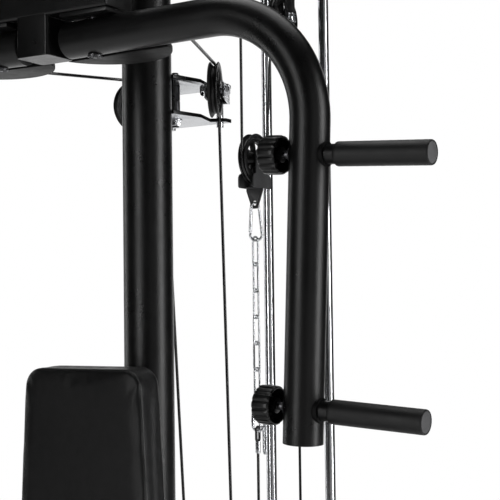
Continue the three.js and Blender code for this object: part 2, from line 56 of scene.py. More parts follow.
def texco(nt):
    return nt.nodes.new("ShaderNodeTexCoord").outputs["Object"]

def noise(nt, scale, detail=4, rough=0.55, co=None, dist=0.0):
    n = nt.nodes.new("ShaderNodeTexNoise")
    n.inputs["Scale"].default_value = scale; n.inputs["Detail"].default_value = detail
    n.inputs["Roughness"].default_value = rough; n.inputs["Distortion"].default_value = dist
    nt.links.new(co or texco(nt), n.inputs["Vector"])
    return n.outputs["Fac"]

def ramp(nt, fac, stops):
    r = nt.nodes.new("ShaderNodeValToRGB")
    e = r.color_ramp.elements
    while len(e) < len(stops): e.new(0.5)
    for el, (p, c) in zip(e, stops):
        el.position = p
        el.color = (c, c, c, 1) if isinstance(c, (int, float)) else (*c, 1)
    nt.links.new(fac, r.inputs["Fac"])
    return r.outputs["Color"]

def bump(nt, bsdf, height, strength, distance, normal=None):
    b = nt.nodes.new("ShaderNodeBump")
    b.inputs["Strength"].default_value = strength; b.inputs["Distance"].default_value = distance
    nt.links.new(height, b.inputs["Height"])
    if normal is not None: nt.links.new(normal, b.inputs["Normal"])
    nt.links.new(b.outputs["Normal"], bsdf.inputs["Normal"])
    return b.outputs["Normal"]

def add_math(nt, op, a, b):
    m = nt.nodes.new("ShaderNodeMath"); m.operation = op
    for i, v in enumerate((a, b)):
        if isinstance(v, (int, float)): m.inputs[i].default_value = v
        else: nt.links.new(v, m.inputs[i])
    return m.outputs[0]

def stretched(nt, s):
    mp = nt.nodes.new("ShaderNodeMapping"); mp.inputs["Scale"].default_value = s
    nt.links.new(texco(nt), mp.inputs["Vector"])
    return mp.outputs["Vector"]

def powder(name, base=0.0035, grain=700, strength=0.85, r0=0.25, r1=0.36, spec=0.32):
    m, nt, b = new_mat(name)
    co = texco(nt)
    fine = noise(nt, grain, 3, 0.6, co); soft = noise(nt, 60, 3, 0.5, co); wide = noise(nt, 9, 4, 0.6, co)
    col = ramp(nt, fine, [(0.30, (base * 0.6, base * 0.6, base * 0.62)), (0.62, (base, base, base * 1.03)), (0.78, (base * 3.2, base * 3.2, base * 3.3))])
    mix = nt.nodes.new("ShaderNodeMix"); mix.data_type = "RGBA"; mix.blend_type = "MULTIPLY"; mix.inputs["Factor"].default_value = 0.35
    nt.links.new(col, mix.inputs["A"]); nt.links.new(ramp(nt, wide, [(0.3, 0.55), (0.7, 1.0)]), mix.inputs["B"])
    nt.links.new(mix.outputs["Result"], b.inputs["Base Color"])
    nt.links.new(ramp(nt, add_math(nt, "ADD", add_math(nt, "MULTIPLY", soft, 0.5), add_math(nt, "MULTIPLY", wide, 0.5)), [(0.3, r0), (0.7, r1)]), b.inputs["Roughness"])
    b.inputs["Specular IOR Level"].default_value = spec
    n1 = bump(nt, b, soft, 0.12, 0.0008)
    bump(nt, b, fine, strength, 0.0003, n1)
    return m

def metal(name, color, r0, r1, streak=(40, 40, 4), bumpy=0.03):
    m, nt, b = new_mat(name)
    b.inputs["Metallic"].default_value = 1.0
    n = noise(nt, 14, 5, 0.6, stretched(nt, streak)); wide = noise(nt, 22, 3)
    nt.links.new(ramp(nt, wide, [(0.25, tuple(c * 0.82 for c in color)), (0.75, color)]), b.inputs["Base Color"])
    nt.links.new(ramp(nt, n, [(0.3, r0), (0.75, r1)]), b.inputs["Roughness"])
    bump(nt, b, n, bumpy, 0.0004)
    return m

def plasticky(name, base, r0, r1, grain=700, strength=0.12, spec=0.5, tint=(1, 1, 1.03)):
    m, nt, b = new_mat(name)
    co = texco(nt)
    g = noise(nt, grain, 3, 0.6, co); w = noise(nt, 35, 4, 0.6, co)
    nt.links.new(ramp(nt, w, [(0.3, tuple(base * 0.75 * t for t in tint)), (0.72, tuple(base * 1.25 * t for t in tint))]), b.inputs["Base Color"])
    nt.links.new(ramp(nt, w, [(0.3, r0), (0.7, r1)]), b.inputs["Roughness"])
    b.inputs["Specular IOR Level"].default_value = spec
    bump(nt, b, g, strength, 0.0003)
    return m

def vinyl_mat(name, base=0.0035):
    m, nt, b = new_mat(name)
    co = texco(nt)
    vo = nt.nodes.new("ShaderNodeTexVoronoi"); vo.feature = "DISTANCE_TO_EDGE"; vo.inputs["Scale"].default_value = 520
    warp = nt.nodes.new("ShaderNodeMapping"); nt.links.new(co, warp.inputs["Vector"])
    nt.links.new(warp.outputs["Vector"], vo.inputs["Vector"])
    creases = ramp(nt, vo.outputs["Distance"], [(0.0, 0.0), (0.12, 1.0)])
    fine = noise(nt, 1400, 3, 0.6, co); wide = noise(nt, 14, 4, 0.6, co); mid = noise(nt, 70, 4, 0.55, co)
    nt.links.new(ramp(nt, mid, [(0.3, (base * 0.7, base * 0.7, base * 0.72)), (0.7, (base * 1.5, base * 1.5, base * 1.55))]), b.inputs["Base Color"])
    nt.links.new(ramp(nt, add_math(nt, "ADD", add_math(nt, "MULTIPLY", wide, 0.6), add_math(nt, "MULTIPLY", fine, 0.4)), [(0.35, 0.30), (0.65, 0.44)]), b.inputs["Roughness"])
    b.inputs["Sheen Weight"].default_value = 0.02; b.inputs["Specular IOR Level"].default_value = 0.22
    n1 = bump(nt, b, creases, 0.25, 0.0004)
    n2 = bump(nt, b, mid, 0.10, 0.0015, n1)
    bump(nt, b, fine, 0.10, 0.0002, n2)
    return m

M = {
    "paint": powder("paint_black_powder"),
    "plate": powder("plate_black_satin", base=0.0035, grain=900, strength=0.3, r0=0.24, r1=0.36),
    "chrome": metal("chrome_plate", (0.66, 0.67, 0.69), 0.15, 0.28, (60, 60, 3), 0.03),
    "zinc": metal("zinc_plate", (0.62, 0.63, 0.65), 0.18, 0.32, (30, 30, 30), 0.08),
    "steel_dark": metal("dark_steel", (0.10, 0.10, 0.105), 0.28, 0.5, (30, 30, 30), 0.08),
    "plastic": plasticky("nylon_black", 0.0045, 0.26, 0.40, 900, 0.10, 0.35),
    "cap": plasticky("cap_plastic", 0.005, 0.34, 0.5, 600, 0.12, 0.35),
    "rubber": plasticky("grip_rubber", 0.0055, 0.42, 0.56, 1300, 0.25, 0.35),
    "grip_end": plasticky("grip_end_disc", 0.075, 0.45, 0.6, 1200, 0.2, 0.4),
    "foam": plasticky("roller_foam", 0.008, 0.70, 0.88, 800, 0.55, 0.25),
    "vinyl": vinyl_mat("vinyl_black"),
    # painted light: a lighter copy of the black vinyl, laid on the pads' side faces
    "painted_light_side": vinyl_mat("vinyl_painted_light_side", 0.009),
    "piping": plasticky("welt_cord", 0.008, 0.28, 0.4, 1500, 0.15, 0.6),
    "cam": powder("cam_matt_black", base=0.0030, grain=1100, strength=0.4, r0=0.42, r1=0.58, spec=0.10),
    # painted light: a light satin metal used only on the swivel bracket's downward faces
    "satin": metal("painted_underside_light_metal", (0.55, 0.56, 0.58), 0.22, 0.38, (30, 30, 30), 0.05),
    "bracket": powder("bracket_grey_black", base=0.045, grain=1300, strength=0.2, r0=0.42, r1=0.56),
    "iron": powder("cast_plate_paint", base=0.007, grain=260, strength=0.55, r0=0.42, r1=0.62),
    "sheath": plasticky("cable_sheath", 0.008, 0.22, 0.36, 1500, 0.06, 0.5),
    "board": plasticky("painted_ply", 0.022, 0.55, 0.8, 240, 0.35, 0.3, (1.1, 1.0, 0.9)),
}
ZINC_FERRULE = M["zinc"]

# ------------------------------------------------------------------ mesh tools
def finish_mesh(name, verts, faces, mat, body=None, slot=None, sharp=35, flip=True):
    me = bpy.data.meshes.new(name)
    me.from_pydata([tuple(v) for v in verts], [], [tuple(f) for f in faces])
    bm = bmesh.new(); bm.from_mesh(me)
    bmesh.ops.remove_doubles(bm, verts=bm.verts, dist=1e-6)
    if flip: bmesh.ops.recalc_face_normals(bm, faces=bm.faces)
    lim = math.radians(sharp)
    for e in bm.edges:
        e.smooth = len(e.link_faces) == 2 and e.calc_face_angle(0) < lim
    for f in bm.faces: f.smooth = True
    bm.to_mesh(me); bm.free()
    ob = bpy.data.objects.new(name, me)
    bpy.context.scene.collection.objects.link(ob)
    if mat is not None: me.materials.append(mat)
    if body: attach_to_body(ob, body)
    return ob

def frames(pts):
    pts = [V(p) for p in pts]; n = len(pts); tan = []
    for i in range(n):
        a, c = pts[max(i - 1, 0)], pts[min(i + 1, n - 1)]
        d1 = (pts[i] - a).normalized() if i else V(); d2 = (c - pts[i]).normalized() if i < n - 1 else V()
        tan.append((d1 + d2).normalized())
    ref = V((0, 0, 1)) if abs(tan[0].z) < 0.9 else V((1, 0, 0))
    nrm = (ref - tan[0] * ref.dot(tan[0])).normalized(); out = []
    for i in range(n):
        if i:
            nrm = tan[i - 1].rotation_difference(tan[i]) @ nrm
            nrm = (nrm - tan[i] * nrm.dot(tan[i])).normalized()
        out.append((pts[i], nrm, tan[i].cross(nrm)))
    return out

def sweep_data(pts, r, n=32, closed=False, section=None):
    fr = frames(pts) if not closed else None
    if closed:
        P = [V(p) for p in pts]; k = len(P); fr = []
        up = closed
        for i in range(k):
            t = (P[(i + 1) % k] - P[i - 1]).normalized()
            b = (up - t * up.dot(t)).normalized()
            fr.append((P[i], b, t.cross(b)))
    rs = r if isinstance(r, (list, tuple)) else [r] * len(fr)
    verts, faces = [], []
    for (p, a, b), rr in zip(fr, rs):
        for j in range(n):
            t = 2 * math.pi * j / n
            verts.append(p + a * (rr * math.cos(t)) + b * (rr * math.sin(t)))
    m = len(fr)
    for i in range(m if closed else m - 1):
        for j in range(n):
            faces.append((i * n + j, i * n + (j + 1) % n, ((i + 1) % m) * n + (j + 1) % n, ((i + 1) % m) * n + j))
    if not closed:
        faces.append(tuple(range(n))[::-1]); faces.append(tuple((m - 1) * n + j for j in range(n)))
    return verts, faces

def sweep(name, pts, r, mat, body, slot=None, n=32, closed=False):
    v, f = sweep_data(pts, r, n, closed)
    return finish_mesh(name, v, f, mat, body, slot)

def axis_matrix(origin, axis):
    q = V((0, 0, 1)).rotation_difference(V(axis).normalized())
    return Matrix.Translation(V(origin)) @ q.to_matrix().to_4x4()

def lathe_data(profile, n=64, mat4=Matrix.Identity(4)):
    verts, faces, rings = [], [], []
    for r, h in profile:
        if r < 1e-9:
            rings.append([len(verts)]); verts.append(V((0, 0, h)))
        else:
            rings.append(list(range(len(verts), len(verts) + n)))
            verts += [V((r * math.cos(2 * math.pi * j / n), r * math.sin(2 * math.pi * j / n), h)) for j in range(n)]
    for a, b in zip(rings, rings[1:]):
        for j in range(n):
            k = (j + 1) % n
            if len(a) == 1 and len(b) == 1: break
            if len(a) == 1: faces.append((a[0], b[k], b[j]))
            elif len(b) == 1: faces.append((a[j], a[k], b[0]))
            else: faces.append((a[j], a[k], b[k], b[j]))
    return [mat4 @ v for v in verts], faces

def lathe(name, profile, origin, axis, mat, body, slot=None, n=64, sharp=35):
    v, f = lathe_data(profile, n, axis_matrix(origin, axis))
    return finish_mesh(name, v, f, mat, body, slot, sharp)

def ring_profile(r0, r1, h0, h1, c=0.0006):
    return [(r0, h0 + c), (r0 + c, h0), (r1 - c, h0), (r1, h0 + c), (r1, h1 - c), (r1 - c, h1), (r0 + c, h1), (r0, h1 - c), (r0, h0 + c)]

def disc_profile(r, h0, h1, c=0.0008):
    return [(0, h0), (r - c, h0), (r - c * 0.3, h0 + c * 0.3), (r, h0 + c), (r, h1 - c), (r - c * 0.3, h1 - c * 0.3), (r - c, h1), (0, h1)]

def rbox_data(x0, x1, y0, y1, z0, z1, bev=0.0012, seg=2, mat4=None):
    bm = bmesh.new(); bmesh.ops.create_cube(bm, size=1.0)
    for v in bm.verts:
        v.co = V(((x0 + x1) / 2 + v.co.x * (x1 - x0), (y0 + y1) / 2 + v.co.y * (y1 - y0), (z0 + z1) / 2 + v.co.z * (z1 - z0)))
    if bev: bmesh.ops.bevel(bm, geom=list(bm.edges), offset=bev, segments=seg, profile=0.5, affect="EDGES")
    if mat4 is not None: bm.transform(mat4)
    bm.verts.index_update()
    v = [x.co.copy() for x in bm.verts]; f = [tuple(y.index for y in x.verts) for x in bm.faces]
    bm.free(); return v, f

def merge(parts):
    V_, F_ = [], []
    for v, f in parts:
        o = len(V_); V_ += v; F_ += [tuple(i + o for i in t) for t in f]
    return V_, F_

def rrect(w, h, r, k=6):
    pts = []
    for cx, cy, a in ((w / 2 - r, h / 2 - r, 0), (-w / 2 + r, h / 2 - r, 90), (-w / 2 + r, -h / 2 + r, 180), (w / 2 - r, -h / 2 + r, 270)):
        for i in range(k + 1):
            t = math.radians(a + 90 * i / k); pts.append((cx + r * math.cos(t), cy + r * math.sin(t)))
    return pts

def rect_tube_data(p0, p1, w, h, up, r=0.005, wall=0.0025, closed0=False, closed1=False, bev=0.0006):
    """hollow tube with rounded corners: w across, h along up"""
    p0, p1 = V(p0), V(p1); t = (p1 - p0).normalized(); up = V(up); side = t.cross(up).normalized()
    outer, inner = rrect(w, h, r), rrect(w - 2 * wall, h - 2 * wall, max(r - wall, 0.001))
    small = rrect(w - 2 * bev, h - 2 * bev, max(r - bev, 0.001))
    def ring(q, o): return [p0 + t * o + side * x + up * y for x, y in q]
    L = (p1 - p0).length; n = len(outer)
    if closed0 or closed1:
        rings = [ring(small, 0), ring(outer, bev), ring(outer, L - bev), ring(small, L)]
        if not closed1: rings += [ring(inner, L), ring(inner, 0.003)]
    else:
        rings = [ring(inner, 0), ring(small, 0), ring(outer, bev), ring(outer, L - bev), ring(small, L), ring(inner, L)]
    verts = [v for q in rings for v in q]; faces = []
    loop = not (closed0 or closed1)
    m = len(rings)
    for i in range(m if loop else m - 1):
        for j in range(n):
            a, b = i * n, ((i + 1) % m) * n; k = (j + 1) % n
            faces.append((a + j, a + k, b + k, b + j))
    if not loop:
        faces.append(tuple(range(n))[::-1]); faces.append(tuple((m - 1) * n + j for j in range(n)))
    return verts, faces

def poly_plate_data(outline, t0, t1, mat4, bev=0.0008, holes=()):
    """flat plate from a 2-D outline, thickness t0..t1 along local z"""
    bm = bmesh.new()
    vs = [bm.verts.new((x, y, t0)) for x, y in outline]
    f = bm.faces.new(vs)
    r = bmesh.ops.extrude_face_region(bm, geom=[f])
    for g in r["geom"]:
        if isinstance(g, bmesh.types.BMVert): g.co.z = t1
    bmesh.ops.recalc_face_normals(bm, faces=bm.faces)
    if bev:
        edges = [e for e in bm.edges if abs(e.verts[0].co.z - e.verts[1].co.z) < 1e-7]
        bmesh.ops.bevel(bm, geom=edges, offset=bev, segments=2, profile=0.5, affect="EDGES")
    bm.transform(mat4); bm.verts.index_update()
    v = [x.co.copy() for x in bm.verts]; fc = [tuple(y.index for y in x.verts) for x in bm.faces]
    bm.free(); return v, fc

def hexhead_data(origin, axis, af, h, n=6, cone=0.35):
    R = af / math.sqrt(3); m4 = axis_matrix(origin, axis); verts, faces = [], []
    def ring(r, z, k=24):
        out = []
        for j in range(k):
            a = 2 * math.pi * j / k
            seg = (a + math.pi / 6) % (math.pi / 3) - math.pi / 6
            lim = (af / 2) / math.cos(seg)
            out.append(m4 @ V((min(r, lim) * math.cos(a), min(r, lim) * math.sin(a), z)))
        return out
    rings = [ring(R, 0), ring(R, h * 0.80), ring(af / 2 * 1.03, h * 0.93), ring(af / 2 * 0.93, h)]
    for q in rings: verts += q
    k = 24
    for i in range(3):
        for j in range(k): faces.append((i * k + j, i * k + (j + 1) % k, (i + 1) * k + (j + 1) % k, (i + 1) * k + j))
    faces.append(tuple(range(k))[::-1]); faces.append(tuple(3 * k + j for j in range(k)))
    return verts, faces

def bolt(name, origin, axis, af, h, body, mat="chrome", washer=True, washer_r=None):
    parts = []
    a = V(axis).normalized(); o = V(origin)
    off = 0.0
    if washer:
        parts.append(lathe_data(ring_profile(0.0012, washer_r or af * 0.72, 0, 0.0018, 0.0004), 32, axis_matrix(o, a))); off = 0.0018
    parts.append(hexhead_data(o + a * off, a, af, h))
    v, f = merge(parts)
    return finish_mesh(name, v, f, M[mat], body, "chrome" if mat == "chrome" else "zinc", 28)

def from_cad(node, name, mat, body, width=0.0012, segs=2, angle=38):
    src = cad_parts[node]
    me = src.data.copy(); me.name = name
    me.transform(src.matrix_world)
    bm = bmesh.new(); bm.from_mesh(me)
    bmesh.ops.remove_doubles(bm, verts=bm.verts, dist=2e-5)
    bmesh.ops.dissolve_limit(bm, angle_limit=math.radians(1.0), verts=bm.verts, edges=bm.edges)
    bmesh.ops.recalc_face_normals(bm, faces=bm.faces)
    bm.to_mesh(me); bm.free()
    me.materials.clear(); me.materials.append(mat)
    ob = bpy.data.objects.new(name, me); bpy.context.scene.collection.objects.link(ob)
    if width:
        md = ob.modifiers.new("edge", "BEVEL"); md.width = width; md.segments = segs
        md.limit_method = "ANGLE"; md.angle_limit = math.radians(angle); md.use_clamp_overlap = True
        dg = bpy.context.evaluated_depsgraph_get()
        me2 = bpy.data.meshes.new_from_object(ob.evaluated_get(dg)); ob.modifiers.clear(); ob.data = me2
        me2.name = name
    bm = bmesh.new(); bm.from_mesh(ob.data)
    for e in bm.edges: e.smooth = len(e.link_faces) == 2 and e.calc_face_angle(0) < math.radians(34)
    for f in bm.faces: f.smooth = True
    bm.to_mesh(ob.data); bm.free()
    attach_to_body(ob, body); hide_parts(node)
    return ob

def arc3(c, e, a0, a1, r, n):
    c, e = V(c), V(e)
    return [c + e * (r * math.cos(math.radians(a0 + (a1 - a0) * i / n))) + V((0, 0, r * math.sin(math.radians(a0 + (a1 - a0) * i / n)))) for i in range(n + 1)]

def bend3(a, c, b, r, n):
    a, c, b = V(a), V(c), V(b); d1 = (a - c).normalized(); d2 = (b - c).normalized()
    turn = math.pi - d1.angle(d2); t = r * math.tan(turn / 2)
    p0, p1 = c + d1 * t, c + d2 * t; mid = c + (d1 + d2).normalized() * (r / math.cos(turn / 2))
    n1, n2 = p0 - mid, p1 - mid
    return [mid + n1 * (math.sin((1 - i / n) * turn) / math.sin(turn)) + n2 * (math.sin(i / n * turn) / math.sin(turn)) for i in range(n + 1)]

def line(a, b, n):
    a, b = V(a), V(b); return [a + (b - a) * (i / n) for i in range(n + 1)]

def mm(*p): return V(p) * MM

def weld(name, pts, r, body, closed_up=None, seed=1):
    rnd = random.Random(seed)
    P = []
    for a, b in zip(pts, pts[1:] + ([pts[0]] if closed_up is not None else [])):
        k = max(2, int((V(b) - V(a)).length / 0.0022)); P += line(a, b, k)[:-1]
    rs = [r * (0.82 + 0.3 * rnd.random() + 0.12 * math.sin(i * 2.1)) for i in range(len(P))]
    v, f = sweep_data(P, rs, 8, closed_up if closed_up is not None else False)
    return finish_mesh(name, v, f, M["paint"], body, "paint", 60)

# ------------------------------------------------------------------ camera
AZ, PITCH, ROLL, LENS = math.radians(30.95), math.radians(2.63), math.radians(0.72), 89.6
d = V((-math.sin(AZ) * math.cos(PITCH), math.cos(AZ) * math.cos(PITCH), math.sin(PITCH)))
r_ = V((math.cos(AZ), math.sin(AZ), 0)); u_ = r_.cross(d)
right = r_ * math.cos(ROLL) - u_ * math.sin(ROLL); up = u_ * math.cos(ROLL) + r_ * math.sin(ROLL)
cam_data = bpy.data.cameras.new("camera"); cam = bpy.data.objects.new("camera", cam_data)
bpy.context.scene.collection.objects.link(cam)
cam_data.lens = LENS; cam_data.sensor_width = 36; cam_data.clip_start = 0.05; cam_data.clip_end = 60
m4 = Matrix.Identity(4)
for i in range(3):
    m4[i][0], m4[i][1], m4[i][2] = right[i], up[i], -d[i]
m4[0][3], m4[1][3], m4[2][3] = 1.14047, -1.59139, 1.25
cam.matrix_world = m4
bpy.context.scene.camera = cam

# ------------------------------------------------------------------ round upright
def boolean_cut(ob, boxes):
    for i, (a, b) in enumerate(boxes):
        v, f = rbox_data(a[0], b[0], a[1], b[1], a[2], b[2], 0)
        c = finish_mesh("cutter", v, f, None)
        md = ob.modifiers.new("cut", "BOOLEAN"); md.operation = "DIFFERENCE"; md.object = c; md.solver = "EXACT"
        dg = bpy.context.evaluated_depsgraph_get()
        me = bpy.data.meshes.new_from_object(ob.evaluated_get(dg)); ob.modifiers.clear(); ob.data = me
        bpy.data.objects.remove(c)
    bm = bmesh.new(); bm.from_mesh(ob.data)
    for e in bm.edges: e.smooth = len(e.link_faces) == 2 and e.calc_face_angle(0) < math.radians(34)
    for f in bm.faces: f.smooth = True
    bm.to_mesh(ob.data); bm.free()

R, W = 0.039, 0.003
v, f = lathe_data([(R - W, 0.0603), (R - 0.0006, 0.0603), (R, 0.061), (R, 2.039), (R - 0.0008, 2.04), (R - W, 2.04), (R - W, 0.0603)], 96)
up_ob = finish_mesh("upright_tube", v, f, M["paint"])
boolean_cut(up_ob, [((-0.009, -0.05, 1.978), (0.009, 0.05, 2.006)), ((-0.009, -0.05, 0.05), (0.009, 0.05, 0.084))])
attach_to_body(up_ob, "frame"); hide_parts("upright")
weld("upright_foot_weld", [V((0.0405 * math.cos(a), 0.0405 * math.sin(a), 0.0612)) for a in [2 * math.pi * i / 60 for i in range(60)] if abs(math.cos(a) * 0.0405) < 0.0285], 0.0022, "frame")

# ------------------------------------------------------------------ arms
LEAN, BACK, FWD = math.radians(3.6), math.radians(2.0), math.radians(2.4)
def arm_frame(s):
    return Matrix.Translation(mm(s * 85.7, -241, 0)) @ Matrix.Rotation(-s * FWD, 4, "Z")
for side, s in (("right", 1), ("left", -1)):
    body = f"{side}_arm"; A = arm_frame(s)
    down = V((-s * math.sin(LEAN), math.sin(BACK), -math.cos(LEAN) * math.cos(BACK))).normalized()
    corner = mm(s * 348, 0, 1625); end = corner + down * 0.545; start = mm(-s * 45, 0, 1625)
    pts = line(start, bend3(start, corner, end, 0.140, 28)[0], 6)[:-1] + bend3(start, corner, end, 0.140, 28) 
    pts = pts + line(pts[-1], end, 14)[1:]
    pts = [A @ p for p in pts]
    RA = 0.0254
    outer, fo = sweep_data(pts, RA, 72)
    inner, fi = sweep_data(pts, RA - 0.0025, 72)
    n = 72; k = len(pts)
    faces = fo[:-2] + [tuple(i + len(outer) for i in t)[::-1] for t in fi[:-2]]
    o = len(outer)
    for j in range(n):
        q = (j + 1) % n
        faces.append((j, q, o + q, o + j)); faces.append(((k - 1) * n + j, (k - 1) * n + q, o + (k - 1) * n + q, o + (k - 1) * n + j))
    ob = finish_mesh(f"arm_tube_{side}", outer + inner, faces, M["paint"], body, "paint"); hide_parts(f"arm_{side}")
    adir = (A.to_3x3() @ down).normalized()
    e = A @ end
    lathe(f"arm_foot_plug_{side}", [(0, -0.004), (0.0185, -0.004), (0.0195, -0.001), (0.0200, 0.0004), (0.0224, 0.0004), (0.02265, -0.001), (0.02265, -0.014), (0, -0.014)], e, adir, M["cap"], body, "plastic", 64)
    adir2 = A.to_3x3() @ V((-s, 0, 0))
    lathe(f"arm_inner_plug_{side}", [(0, 0.0035), (0.018, 0.003), (0.0235, 0.0015), (0.0250, 0.0004), (0.0250, 0.0002), (0.02265, 0.0002), (0.02265, -0.012), (0, -0.012)], A @ start, adir2, M["cap"], body, "plastic", 64)
    # cam: a half-moon plate welded behind the tube
    cx, Rc, flat = 0.0185, 0.092, 0.024
    a0 = math.asin(flat / Rc)
    out = [(s * (cx + Rc * math.cos(a0 + (math.pi - 2 * a0) * i / 120)), Rc * math.sin(a0 + (math.pi - 2 * a0) * i / 120)) for i in range(121)]
    if s < 0: out = out[::-1]
    ob = finish_mesh(f"cam_plate_{side}", *poly_plate_data(out, 1.602, 1.610, A, 0.0016), M["cam"], body, "paint"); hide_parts(f"cam_{side}")
    weld(f"cam_weld_{side}", [A @ V((s * x, 0.0232, 1.6104)) for x in (-0.040, 0.0, 0.040, 0.080)], 0.0021, body, None, 11)
    # cable eye bolted to the back of the tube
    eye = V((s * 0.212, -0.214, 1.625)); back = A.to_3x3() @ V((0, 1, 0))
    base = A @ V((s * 0.126, 0.0246, 1.625))
    lathe(f"cable_eye_base_{side}", ring_profile(0.001, 0.0095, 0, 0.003, 0.0006), base, back, M["zinc"], body, "zinc", 32)
    sweep(f"cable_eye_stud_{side}", line(base, eye, 3), 0.0035, M["zinc"], body, "zinc", 16)
    # handles, grips, knobs
    hv = A.to_3x3() @ V((s * math.cos(LEAN), 0, -math.sin(LEAN))).normalized()
    for level, drop in (("upper", 0.189), ("lower", 0.502)):
        at = A @ (corner + down * drop)
        tb = lathe(f"handle_tube_{level}_{side}", [(0, 0.0235), (0.0125, 0.0235), (0.0125, 0.1600), (0, 0.1600)], at, hv, M["paint"], body, "paint", 48)
        # painted shade: a matt black ring flush with the pipe around the handle tube, standing in for the dark gap
        # where the tube enters
        lathe(f"handle_saddle_{level}_{side}", [(0.0128, 0.0205), (0.0160, 0.0205), (0.0163, 0.0235), (0.0155, 0.0262), (0.0128, 0.0268), (0.0128, 0.0205)], at, hv, M["cam"], body, "plastic", 48)
        prof = [(0.0127, 0.0400), (0.0140, 0.0399), (0.0149, 0.0405), (0.01525, 0.0418)]
        for i in range(1, 40):
            h = 0.0418 + (0.1635 - 0.0418) * i / 40
            prof.append((0.01525 + 0.00004 * math.sin(i * 1.7), h))
        prof += [(0.01525, 0.1632), (0.01510, 0.1646), (0.01460, 0.1656), (0.01385, 0.1660), (0.01340, 0.1658), (0.01335, 0.1652), (0.0127, 0.1652), (0.0127, 0.04)]
        gp = lathe(f"grip_{level}_{side}", prof, at, hv, M["rubber"], body, "rubber", 64, 50)
        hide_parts(f"handle_{level}_{side}")
        lathe(f"grip_end_{level}_{side}", [(0, 0.1658), (0.0010, 0.1658), (0.0115, 0.16555), (0.0129, 0.1653), (0.0133, 0.1648), (0.0133, 0.1600), (0, 0.1600)], at, hv, M["grip_end"], body, "plastic", 48)
        # knob
        kb = f"{level}_knob_{side}"; K4 = axis_matrix(at, -hv)
        lobes = 14; N = 196
        def krad(a, r, depth): return r - depth * (0.5 + 0.5 * math.cos(lobes * a)) ** 4
        prof = [(0.0, 0.0650, 0), (0.0100, 0.0650, 0), (0.0108, 0.0645, 0), (0.0118, 0.0632, 0), (0.0165, 0.0632, 0), (0.0205, 0.0636, 0.0003), (0.0230, 0.0628, 0.0012), (0.0244, 0.0610, 0.0017), (0.0248, 0.058, 0.0019),
                (0.0248, 0.045, 0.0019), (0.0246, 0.0400, 0.0016), (0.0238, 0.0382, 0.0008), (0.0226, 0.0376, 0), (0.0216, 0.0380, 0), (0.0210, 0.0400, 0), (0.0204, 0.0560, 0), (0.0110, 0.0560, 0), (0.0100, 0.0550, 0), (0.0096, 0.0385, 0), (0.0085, 0.0378, 0), (0.0, 0.0378, 0)]
        verts, faces, idx = [], [], []
        for r, h, dp in prof:
            if r == 0: idx.append([len(verts)]); verts.append(K4 @ V((0, 0, h))); continue
            idx.append(list(range(len(verts), len(verts) + N)))
            verts += [K4 @ V((krad(2 * math.pi * j / N, r, dp) * math.cos(2 * math.pi * j / N), krad(2 * math.pi * j / N, r, dp) * math.sin(2 * math.pi * j / N), h)) for j in range(N)]
        for a, b in zip(idx, idx[1:]):
            for j in range(N):
                q = (j + 1) % N
                if len(a) == 1: faces.append((a[0], b[q], b[j]))
                elif len(b) == 1: faces.append((a[j], a[q], b[0]))
                else: faces.append((a[j], a[q], b[q], b[j]))
        ko = finish_mesh(f"knob_head_{level}_{side}", verts, faces, M["plastic"], kb, "plastic", 40)
        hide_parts(f"knob_{level}_{side}")
        lathe(f"knob_stud_{level}_{side}", [(0, 0.0258), (0.0048, 0.0258), (0.0050, 0.0262), (0.0050, 0.0376), (0, 0.0376)], at, -hv, M["steel_dark"], kb, "zinc", 24)
        lathe(f"knob_washer_{level}_{side}", ring_profile(0.0052, 0.0090, 0.0256, 0.0274, 0.0004), at, -hv, M["steel_dark"], body, "zinc", 32)

# ------------------------------------------------------------------ press carrier
parts = [rect_tube_data(mm(0, -245.25, 1602), mm(0, -245.25, 1960), 0.0575, 0.0575, (0, 1, 0), 0.0055, 0.003, closed0=True),
         rect_tube_data(mm(-128.6, -245.5, 1687), mm(128.6, -245.5, 1687), 0.0584, 0.0602, (0, 0, 1), 0.0055, 0.003)]
ob = finish_mesh("press_post_tube", *parts[0], M["paint"], "press_arm", "paint"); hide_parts("press_carrier")
finish_mesh("press_cross_tube", *parts[1], M["paint"], "press_arm", "paint")
for s in (1, -1):
    pl = rect_tube_data(mm(s * 121, -245.5, 1687), mm(s * 131.2, -245.5, 1687), 0.0560, 0.0590, (0, 0, 1), 0.0062, 0.0015, closed0=True, closed1=True, bev=0.0014)
    pv = [V((x.x, x.y, x.z)) for x in pl[0]]
    finish_mesh(f"press_cross_plug_{'right' if s > 0 else 'left'}", *rbox_data(*(sorted((s * 0.1284, s * 0.1312)) + [-0.2738, -0.2172, 1.6572, 1.7168]), 0.0012), M["cap"], "press_arm", "plastic")
    x = s * 0.0857
    lathe(f"arm_pivot_pin_{'right' if s > 0 else 'left'}", [(0, 1.5975), (0.008, 1.5975), (0.008, 1.664), (0, 1.664)], (x, -0.241, 0), (0, 0, 1), M["steel_dark"], "press_arm", "chrome", 32)
    lathe(f"arm_pivot_bush_{'right' if s > 0 else 'left'}", [(0.0082, 1.6508), (0.0142, 1.6508), (0.0150, 1.6516), (0.0150, 1.6532), (0.0136, 1.6545), (0.0136, 1.6568), (0.0082, 1.6568), (0.0082, 1.6508)], (x, -0.241, 0), (0, 0, 1), M["steel_dark"], "press_arm", "chrome", 48)
    finish_mesh(f"arm_slide_block_{'right' if s > 0 else 'left'}", *rbox_data(*sorted((s * 0.048, s * 0.1275)), -0.2715, -0.2060, 1.6509, 1.6566, 0.0008), M["cap"], "press_arm", "plastic")
    lathe(f"arm_pivot_head_{'right' if s > 0 else 'left'}", [(0, 1.5955), (0.0030, 1.5955), (0.0034, 1.5968), (0.0062, 1.5972), (0.0088, 1.5956), (0.0102, 1.5966), (0.0105, 1.5978), (0.0105, 1.5990), (0, 1.5990)], (x, -0.241, 0), (0, 0, 1), M["steel_dark"], "press_arm", "chrome", 48)
